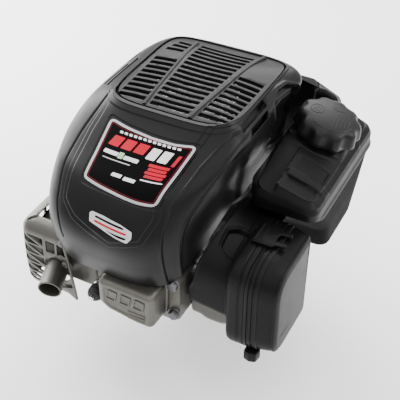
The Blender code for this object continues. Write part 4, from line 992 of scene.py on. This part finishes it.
ordered = matched(neck)
for t in np.linspace(0, 1, 60)[1:]:
    tank_rings.append(last + (ordered - last) * t)
tank_points = np.stack(tank_rings)
tx, ty, tz = tank_points[..., 0], tank_points[..., 1], tank_points[..., 2]
on_top = step_up(tz + 0.3 * (tx - 127), 172, 182)
rib_1 = step_up(7.5 - np.abs(ty + 12), 0, 2.2) * step_up(tx, 126, 129)
rib_2 = step_up(6.5 - np.abs(ty + 42), 0, 2.2) * step_up(tx, 126, 129)
dish = step_up(33 - np.abs(ty + 12), 0, 4) * step_up(tx, 128, 131) * step_up(168 - tx, 0, 3)
tank_points[..., 2] += on_top * (2.0 * np.maximum(rib_1, rib_2)
                                 - 2.2 * dish * (1 - np.maximum(rib_1, rib_2)))
shelf = step_up(124.5 - tx, 0, 1.5) * step_up(34 - ty, 0, 3)
tank_points[..., 2] -= on_top * shelf * (1.5 + 16 * step_up(-ty, -34, 52))
ring_lip = np.hypot(tx - 137, ty - 78)
tank_points[..., 2] += 1.2 * on_top * np.exp(-((ring_lip - 44) / 1.2) ** 2)
tank_rows = list(tank_points)
for radius, height in ((33.5, 3), (32, 6), (32, 15), (28, 15), (27.5, 2), (20, 1.5)):
    tank_rows.append(matched(np.array([tuple(q)
                                       for q in circle(radius, height, TANK_COUNT, neck_matrix)])))
tank_bm = skin([[Vector(p) for p in row] for row in tank_rows])
tank_shell = from_bm("tank_shell", tank_bm, "tank", "engine_block", ["fuel_tank"], 40)
TANK_SEAM_Z = 139.0
# Faces below the seam take the darker copy of the tank plastic: painted shade on the lower tank.
tank_shell.data.materials.append(LOOKS["tank_under_painted_shade"])
for face in tank_shell.data.polygons:
    face.material_index = int(face.center.z < TANK_SEAM_Z * MM)

# Raised shoulder at the tank's rear left, which closes the space behind the housing's hump
TANK_SHOULDER = [(46, 142), (97, 142), (103, 125), (124, 125), (133, 132), (133, 153), (46, 153)]
TANK_SHOULDER_TOP = 212
tank_shoulder_line = resampled(rounded(TANK_SHOULDER, [3, 3, 5, 5, 6, 8, 4], 6), 140)


def shoulder_ring(shrink, z, crowned):
    """Level ring, or one that follows the shoulder's sloping top."""
    ring = lifted(inset(tank_shoulder_line, shrink), "XY", z)
    for point in ring:
        sloped = 216 - 0.45 * (point.x - 107) - 0.6 * (point.y - 130)
        point.z += crowned * (min(TANK_SHOULDER_TOP, sloped) - TANK_SHOULDER_TOP)
    return ring


shoulder_profile = [(3, 74, 0), (0, 78, 0), (0, 178, 0), (0.2, 204, 1), (1.2, 208, 1), (3.2, 210.8, 1),
                    (5.2, TANK_SHOULDER_TOP, 1)]
from_bm("tank_shoulder", skin([shoulder_ring(*row) for row in shoulder_profile]), "tank", "engine_block",
        sharp=60)

# ---------------------------------------------------------------- fuel cap
CAP_LOBES = 10


def cap_ring(radius, height, lobes=0.0, count=240):
    points = []
    for i in range(count):
        turn = 2 * pi * i / count
        wave = cos(CAP_LOBES * turn)
        r = radius + lobes * (wave if wave < 0 else wave ** 0.6)
        points.append(neck_matrix @ Vector((r * cos(turn), r * sin(turn), height)))
    return points


cap_profile = [(22, 19, 0), (33, 18, 0), (33.5, 6.5, 0), (37.5, 6.0, 0.8), (39.8, 6.4, 1.8),
               (40.4, 7.6, 2.2), (39.6, 12, 2.2),
               (38.4, 17, 2.2), (37.6, 20.4, 2.0), (36.7, 22.6, 1.8), (35.2, 24.4, 1.5),
               (33.6, 25.6, 1.1), (31.5, 26.6, 0.6),
               (28.5, 27.6, 0.2), (25, 28.3, 0), (20, 29.0, 0), (14, 29.6, 0), (8, 29.9, 0),
               (3, 30.0, 0)]
from_bm("cap_shell", skin([cap_ring(*p) for p in cap_profile]), "cap", "tank_cap", ["fuel_cap"],
        50)


def cap_height(r):
    return float(np.interp(r, [0, 8, 14, 20, 25, 29, 32, 35],
                           [29.9, 29.8, 29.4, 28.8, 28.1, 27.3, 26.6, 25.9]))


def cap_bead(name, corners, width, closed=True):
    line = [neck_matrix @ Vector((x, y, cap_height((x * x + y * y) ** 0.5) + 0.05)) for x, y in corners]
    if closed:
        line = line + line[:2]
    return tube_along(line, width, 8)


cap_marks = []
for number, (cx, cy) in enumerate(((-2, 19), (19, -2))):
    ring_line = [(cx + 8.2 * cos(2 * pi * k / 40), cy + 8.2 * sin(2 * pi * k / 40)) for k in range(40)]
    cap_marks.append(cap_bead("", ring_line, 0.45))
    for off in (-3.2, 0, 3.2):
        cap_marks.append(cap_bead("", [(cx - 4, cy + off), (cx, cy + off), (cx + 4, cy + off)], 0.5,
                                  False))
for number in range(5):
    cap_marks.append(cap_bead("", [(-22 + number * 3, -8 - number * 4.2),
                                   (-10 + number * 3, -6 - number * 4.2),
                                   (4 + number * 2, -7 - number * 4.2)], 0.5, False))
arc = [(28.5 * cos(t), 28.5 * sin(t)) for t in np.linspace(radians(150), radians(260), 30)]
cap_marks.append(cap_bead("", arc, 0.5, False))
for number, bm in enumerate(cap_marks):
    from_bm(f"cap_mark_{number}", bm, "cap", "tank_cap")

# ---------------------------------------------------------------- air cleaner
AIR_Y = (-147.0, -43.0)
AIR_Z = (9.0, 141.0)
AIR_X = (115.4, 137.2, 177.0)
air_line = resampled(rounded([(AIR_Y[0], AIR_Z[0]), (AIR_Y[1], AIR_Z[0]), (AIR_Y[1], AIR_Z[1]),
                              (AIR_Y[0], AIR_Z[1])],
                             [34, 18, 10, 38], 16), 220)


def air_ring(x, shrink, top=0.0):
    ring = lifted(inset(air_line, shrink), "YZ", x)
    middle = (AIR_Z[0] + AIR_Z[1]) / 2
    return [Vector((p.x, p.y, p.z - top * max(0, (p.z - middle) / (AIR_Z[1] - middle)))) for p in ring]


base_profile = [(122, 4.0), (AIR_X[1], 2.8), (AIR_X[1], 0.6), (136.6, 0.05), (132, 0), (131, 0.9),
                (129.6, 0.9), (128.6, 0.0),
                (121, 0), (118.4, 0.6), (116.4, 1.4), (115.4, 3)]
from_bm("air_box_base", skin([air_ring(x, s) for x, s in base_profile]), "cover", "engine_block",
        ["air_cleaner_base"])
slab("air_box_outlet", rounded([(112, -46), (136, -46), (136, -26), (112, -26)], 5, 6), "XY", 92, 134,
     "cover", "engine_block",
     2.0, rise=5)
cover_profile = [(168, 15, 6), (162, 8, 2), (AIR_X[1] + 0.4, 3.0, 0), (AIR_X[1] + 0.4, 0.5, 0),
                 (138.2, 0.0, 0), (141.4, 0.0, 0),
                 (141.9, 1.1, 0), (143.6, 1.2, 0), (144.1, 0.2, 0), (146.8, 0.3, 0), (147.3, 1.4, 0),
                 (149.2, 1.5, 0),
                 (149.7, 0.6, 0), (153.4, 0.8, 0), (154.0, 2.0, 0), (160, 2.8, 0.2), (166, 4.0, 1.0),
                 (171.2, 5.6, 2.2), (171.9, 5.0, 2.2),
                 (173.4, 5.2, 2.4), (174.4, 6.2, 2.8), (174.9, 7.4, 3.2), (176.2, 9.8, 4.0),
                 (176.5, 11.0, 4.4), (176.6, 14, 5)]
from_bm("air_box_cover", skin([air_ring(*p) for p in cover_profile]), "cover", "air_cover",
        ["air_cleaner_cover"],
                    50)
beads = bmesh.new()
for points, radius in (
        ([(169.0, -50, 131.5), (170.5, -80, 130.5), (170.5, -112, 128.5), (169.8, -124, 126)], 1.5),
        ([(174.0, -60, 121.5), (174.6, -92, 120), (174.6, -128, 117), (173.5, -134, 112)], 0.9),
        ([(174.4, -52, 36), (175.4, -90, 38), (175.8, -128, 41), (173.5, -135, 47), (170, -138, 52)],
         1.1),
        ([(173.2, -56, 25), (174.0, -92, 26), (174.0, -122, 28.5)], 0.8)):
    tube_along(curve_points(points, 10), radius, 12, beads)
from_bm("air_cover_ridges", beads, "cover", "air_cover")
tab = [(139.5, -145), (147, -147.4), (155, -145), (157, -134), (139.5, -134)]
slab("air_cover_tab", rounded(tab, 2.0, 5), "XY", 2.5, 17, "cover", "air_cover", 1.4)

latch_body = [(122, -98), (146, -98), (150, -94), (160, -93), (162, -90), (160, -87.4), (149, -87),
              (147.4, -84), (147.4, -78),
              (149, -75), (160, -74.6), (162, -72), (160, -69), (150, -68), (146, -64), (122, -64)]
slab("latch_plate", rounded(latch_body, 1.2, 4), "XY", AIR_Z[1] + 0.6, AIR_Z[1] + 4.1, "cover",
     "air_latch", 0.9,
             ["air_cleaner_latch"])
latch_rib = bmesh.new()
tube_along([Vector((125, -96, 145)), Vector((125, -66, 145))], 1.4, 12, latch_rib)
tube_along([Vector((132, -92, 144.8)), Vector((132, -70, 144.8))], 0.9, 12, latch_rib)
tube_along([Vector((159.5, -92.5, 144.6)), Vector((159.5, -88, 144.6))], 1.3, 12, latch_rib)
tube_along([Vector((159.5, -74, 144.6)), Vector((159.5, -69.5, 144.6))], 1.3, 12, latch_rib)
from_bm("latch_ribs", latch_rib, "cover", "air_latch")

# ---------------------------------------------------------------- valve cover and head
HEAD_FRONT_Y = -158.0
cover_line = resampled(rounded([(-27, 100), (-27, 62), (-14, 53), (24, 47), (46.5, 47), (48, 99)],
                               [10, 8, 8, 8, 9, 10], 10), 160)
area = sum(a.x * b.y - b.x * a.y for a, b in zip(cover_line, cover_line[1:] + cover_line[:1]))
if area < 0:
    cover_line = cover_line[::-1]


def lid_ring(shrink, y):
    """Outline of the valve cover drawn in; beyond 7 mm it shrinks towards its centre."""
    ring = lifted(inset(cover_line, min(shrink, 7)), "XZ", y)
    scale = 1 - max(shrink - 7, 0) / 30
    return [Vector((11 + (p.x - 11) * scale, y, 74 + (p.z - 74) * scale)) for p in ring]


lid_profile = [(6, -189), (3.0, -186.5), (2.6, -158.6), (-1.4, -158.5), (-1.9, -159.2), (-1.9, -161.6),
               (-1.4, -162.3), (-0.2, -162.7),
               (0.0, -163.6), (0.3, -176), (0.6, -185.0), (1.3, -188.4), (2.8, -190.8), (5.0, -192.3),
               (7.4, -193.0), (9.4, -193.0),
               (10.2, -192.2), (11.4, -191.9), (16, -191.8)]
from_bm("valve_lid", skin([lid_ring(*p) for p in lid_profile]), "casting", "engine_block",
        ["valve_cover"], 40)
lid_marks = bmesh.new()
for x0, x1, z, r in ((14, 36, 64.5, 1.0), (14, 36, 59.5, 1.0), (14, 36, 54.5, 1.0)):
    tube_along([Vector((x0, -192.2, z)), Vector((x1, -192.2, z))], r, 10, lid_marks, flat=0.8)
for x0 in (-15, 3, 21):
    outline = rounded([(x0, 74), (x0 + 12, 73), (x0 + 15, 86), (x0 + 3, 87)], 1.5, 5)
    points = [Vector((p.x, -192.2, p.y)) for p in outline]
    tube_along(points + points[:2], 0.9, 8, lid_marks)
from_bm("valve_lid_marks", lid_marks, "casting", "engine_block")

HEAD_BOLTS = ((56.6, 98.0), (56.6, 52.0))
for number, (x, z) in enumerate(HEAD_BOLTS, 1):
    matrix = aim((x, HEAD_FRONT_Y, z), (0, -1, 0))
    hexed = []
    for flat, h in ((5.3, 2.3), (5.5, 2.8), (5.5, 7.4), (5.2, 8.0), (4.5, 8.4)):
        hexed.append([matrix @ Vector((flat / cos((2 * pi * i / 48 + pi / 6) % (pi / 3)
                                                  - pi / 6) * cos(2 * pi * i / 48),
                                       flat / cos((2 * pi * i / 48 + pi / 6) % (pi / 3)
                                                  - pi / 6) * sin(2 * pi * i / 48), h))
                      for i in range(48)])
    bolt = skin([circle(3.9, -50, 48, matrix), circle(3.9, 0.4, 48, matrix), circle(7, 0.4, 48, matrix),
                 circle(7.3, 0.9, 48, matrix), circle(7.0, 2.0, 48, matrix), *hexed,
                 circle(2.5, 8.5, 48, matrix)])
    from_bm(f"head_screw_{number}", bolt, "iron", "engine_block", [f"head_bolt_{number}"])

PLUG = Vector((-41.0, HEAD_FRONT_Y, 54.0))
turned("plug_boot", [(3.6, 23), (3.6, 22), (6.2, 21.6), (6.2, 11), (9.3, 11), (10.2, 12), (10.2, 15),
                     (9.4, 16), (9.4, 17.4),
                     (9.9, 18.2), (9.9, 20), (9.1, 21), (8.6, 22.6), (7.4, 24.6), (4.6, 25.6),
                     (2, 25.8)], "rubber",
       "engine_block", PLUG, (0, -1, 0), 64, stands_for=["spark_plug_boot"])

# ---------------------------------------------------------------- muffler, guard and outlet
MUFFLER_X = (-151.0, -98.0)
MUFFLER_Y = (-150.0, -74.0)
OUTLET_START = Vector((-108.0, -150.0, 56.0))
OUTLET_END = Vector((-96.0, -190.0, 49.0))
OUTLET_R = 14.2
outlet_axis = OUTLET_END - OUTLET_START


def guard_outline(grow, radius):
    corners = [(-86, -164 - grow), (-151 - grow * 0.4, -164 - grow), (-162 - grow, -151 - grow * 0.4),
               (-162 - grow, -66),
               (-100, -62 + grow)]
    out = [Vector(corners[0])]
    for i in range(1, len(corners) - 1):
        here = Vector(corners[i])
        before, after = (Vector(corners[i - 1]) - here).normalized(), (Vector(corners[i + 1])
                                                                       - here).normalized()
        for k in range(9):
            t = k / 8
            out.append((here + before * radius) * (1 - t) ** 2 + here * 2 * t * (1 - t)
                       + (here + after * radius) * t * t)
    out.append(Vector(corners[-1]))
    return out


def open_resampled(line, count):
    lengths = np.concatenate([[0], np.cumsum([(b - a).length for a, b in zip(line, line[1:])])])
    at = np.linspace(0, lengths[-1], count)
    return np.stack([np.interp(at, lengths, [p[c] for p in line]) for c in range(2)], 1)


guard_levels = [(10, -6, 0), (12, -4, 0), (16, -2, 0), (22, 0, 0), (34, 0.5, 0), (46, 0.8, 0),
                (60, 1, 0), (72, 0.6, 0), (84, 0, 0),
                (94, -0.6, 0), (99, -1.2, 0), (103, -2.4, 0.02), (106, -4.2, 0.035), (108.4, -6.4, 0.05),
                (109.8, -8.8, 0.08),
                (110.6, -11.4, 0.11), (111, -14, 0.14)]
guard_points = np.zeros((len(guard_levels), 150, 3))
for i, (z, grow, lean) in enumerate(guard_levels):
    line = open_resampled(guard_outline(grow - 1.0, 7), 150)
    guard_points[i, :, 0] = line[:, 0] + (-110 - line[:, 0]) * lean
    guard_points[i, :, 1] = line[:, 1] + (-110 - line[:, 1]) * lean
    guard_points[i, :, 2] = z
guard = grid_object("guard_cage", guard_points, "sheet", "engine_block", False, 2.0, ["muffler_guard"],
                    50)
windows = bmesh.new()
for row in range(5):
    low_z = 20 + row * 15.4
    for shape in (((-153, 0), (-127, 0), (-153, 12)), ((-123, 1.5), (-123, 13), (-148, 13))):
        low = [Vector((x, -176, low_z + z)) for x, z in shape]
        skin([low, [p + Vector((0, 20, 0)) for p in low]], bm=windows)
for left in (-118.5, -102.5):
    box_bm(windows, (left, left + 13), (-176, -155), (77, 94))
for k in range(3):
    for z in (30, 62):
        box_bm(windows, (-172, -150), (-122 + k * 18, -108 + k * 18), (z, z + 26))
boolean(guard, helper("guard_window_forms", windows), "DIFFERENCE")
boolean(guard, helper("guard_outlet_form", rods([(OUTLET_START, OUTLET_END, OUTLET_R + 4)], 48)),
        "DIFFERENCE")
bevel(guard, 0.5, 2, 45)


def can_ring(z, shrink, count=120):
    points = []
    x0, x1 = MUFFLER_X[0] + shrink, MUFFLER_X[1] - shrink
    y0, y1 = MUFFLER_Y[0] + shrink, MUFFLER_Y[1] - shrink
    for i in range(count):
        turn = 2 * pi * i / count
        c, s = cos(turn), sin(turn)
        points.append(Vector(((x0 + x1) / 2 + (x1 - x0) / 2 * abs(c) ** 0.8 * (1 if c > 0 else -1),
                              (y0 + y1) / 2 + (y1 - y0) / 2 * abs(s) ** 0.8 * (1 if s > 0 else -1), z)))
    return points


can = [(24, 14), (24, 10), (24.8, 6.5), (26.6, 3.2), (29, 1.2), (33, 0.3), (42, 0), (42.6, 0.8),
       (44.4, 0.8), (45, 0), (59, 0), (60, -1.6),
       (60.8, -2), (62.2, -2), (63, -1.6), (63.6, 0), (78, 0), (78.6, 0.8), (80.4, 0.8), (81, 0),
       (90, 0.4), (94, 1.6), (96.4, 4), (97.6, 7),
       (98, 11), (98, 16)]
from_bm("muffler_can", skin([can_ring(*p) for p in can]), "sheet", "engine_block", ["muffler"])
slab("muffler_inlet", rounded([(-104, 30), (-56, 30), (-56, 97), (-104, 97)], [3, 16, 8, 3], 8), "XZ",
     -150, -112, "sheet", "engine_block", 5.0,
     rise=6)
turned("outlet_pipe", [(OUTLET_R - 1.6, 1), (OUTLET_R + 2, 1), (OUTLET_R + 2.2, 2), (OUTLET_R + 2, 3),
                       (OUTLET_R, 4),
                       (OUTLET_R, outlet_axis.length - 5), (OUTLET_R + 0.5, outlet_axis.length - 1),
                       (OUTLET_R + 0.2, outlet_axis.length),
                       (OUTLET_R - 1.4, outlet_axis.length), (OUTLET_R - 1.8, outlet_axis.length - 3)],
       "sheet", "engine_block",
       OUTLET_START + Vector((0, -4, 0)), outlet_axis, 72, True, ["muffler_outlet"])
strap = bmesh.new()
tube_along(curve_points([(-88, -166, 100), (-84.6, -167, 80), (-82.5, -167, 60), (-80.5, -166.5, 40),
                         (-79.4, -166, 26), (-79, -165.6, 16)],
                        10), 1.9, 12, strap)
from_bm("guard_strap", strap, "sheet", "engine_block")
slab("guard_tab", rounded([(-78, 14), (-81.5, 34), (-101, 27)], 1.0, 4), "XZ", -164.4, -166.4, "sheet",
     "engine_block", 0.4)
for number, z in enumerate((68, 100)):
    turned(f"guard_screw_{number}", [(0.6, 3.4), (3, 3.2), (4.2, 2.4), (4.6, 1), (4.6, 0)], "iron",
           "engine_block",
           (-93, -163.4, z) if z > 90 else (-91, -163.8, z), (0, -1, 0), 40)

# ---------------------------------------------------------------- starter frame and inner glimpses
STARTER = [(6, 190), (6, 218), (46, 219), (50, 224), (52, 249), (49.6, 249), (47.6, 226), (44, 222),
           (1.5, 221)]
starter = turned("starter_cage", STARTER, "aluminium", "engine_block", count=96,
                 stands_for=["starter_frame"])
cage_cuts = bmesh.new()
for k in range(12):
    turn = 2 * pi * k / 12 + 0.13
    matrix = Matrix.Rotation(turn, 4, "Z")
    low = [matrix @ Vector(p) for p in ((44, -7, 226), (60, -7, 226), (60, 7, 226), (44, 7, 226))]
    skin([low, [p + Vector((0, 0, 17)) for p in low]], bm=cage_cuts)
boolean(starter, helper("cage_forms", cage_cuts), "DIFFERENCE")

# ---------------------------------------------------------------- CAD nodes that stay, with new materials
KEEP = {
    "crankcase": "case", "sump": "case", "cylinder_head": "casting", "crankshaft": "steel",
        "timing_gear": "iron",
    "cam_gear": "dark", "connecting_rod": "aluminium", "rod_cap": "aluminium", "piston": "aluminium",
        "wrist_pin": "steel",
    "small_end_bush": "aluminium", "camshaft": "iron", "head_gasket": "gasket", "flywheel": "iron",
        "flywheel_fan": "dark",
    "starter_cup": "bright", "flywheel_nut": "steel", "starter_pulley": "dark", "rope_eyelet": "bright",
    "fuel_cap_gasket": "rubber", "air_filter": "paper", "carburetor": "aluminium",
        "float_bowl": "aluminium",
    "throttle_lever": "bright", "intake_elbow": "dark", "muffler_gasket": "gasket",
        "spark_plug": "bright",
    "ignition_coil": "dark", "oil_filler_tube": "cover", "dipstick": "cap", "oil_seal": "rubber",
}
for kind in ("intake", "exhaust"):
    for piece in ("valve", "valve_spring", "rocker", "pushrod", "tappet"):
        KEEP[f"{kind}_{piece}"] = "steel"
for name, look_name in KEEP.items():
    node = nodes[name]
    node.data.materials.clear()
    node.data.materials.append(LOOKS[look_name])

# ---------------------------------------------------------------- floor and light
floor_mesh = bpy.data.meshes.new("floor")
floor_mesh.from_pydata([(-6, -6, -0.081), (6, -6, -0.081), (6, 6, -0.081), (-6, 6, -0.081)], [],
                       [(0, 1, 2, 3)])
floor = bpy.data.objects.new("floor", floor_mesh)
paper, _, paper_shader = principled("floor_paper")
paper_shader.inputs["Base Color"].default_value = grey(0.98)
paper_shader.inputs["Roughness"].default_value = 0.9
paper_shader.inputs["Specular IOR Level"].default_value = 0.1
floor.data.materials.append(paper)
bpy.context.scene.collection.objects.link(floor)

world = bpy.data.worlds.new("studio")
world.use_nodes = True
sky = world.node_tree
direction = sky.nodes.new("ShaderNodeTexCoord")
parts = sky.nodes.new("ShaderNodeSeparateXYZ")
link(sky, direction.outputs["Generated"], parts.inputs["Vector"])
glow = ramp(sky, parts.outputs["Z"], [(0.0, grey(0.26)), (0.35, grey(0.5)), (1.0, grey(1.0))])
link(sky, glow, sky.nodes["Background"].inputs["Color"])
sky.nodes["Background"].inputs["Strength"].default_value = 2.75
bpy.context.scene.world = world


def area_light(name, at, target, size, power):
    data = bpy.data.lights.new(name, "AREA")
    data.shape = "RECTANGLE"
    data.size, data.size_y = size
    data.energy = power
    lamp = bpy.data.objects.new(name, data)
    lamp.location = at
    lamp.rotation_euler = (Vector(target) - Vector(at)).to_track_quat("-Z", "Y").to_euler()
    bpy.context.scene.collection.objects.link(lamp)


area_light("left_softbox", (-1.2, 0.35, 0.7), (0, 0, 0.15), (0.8, 1.2), 40)
area_light("rear_top_softbox", (-0.4, 1.2, 1.0), (0, 0, 0.2), (1.2, 0.7), 18)
area_light("right_softbox", (1.3, 0.75, 1.1), (0.08, 0, 0.2), (0.5, 0.9), 12)
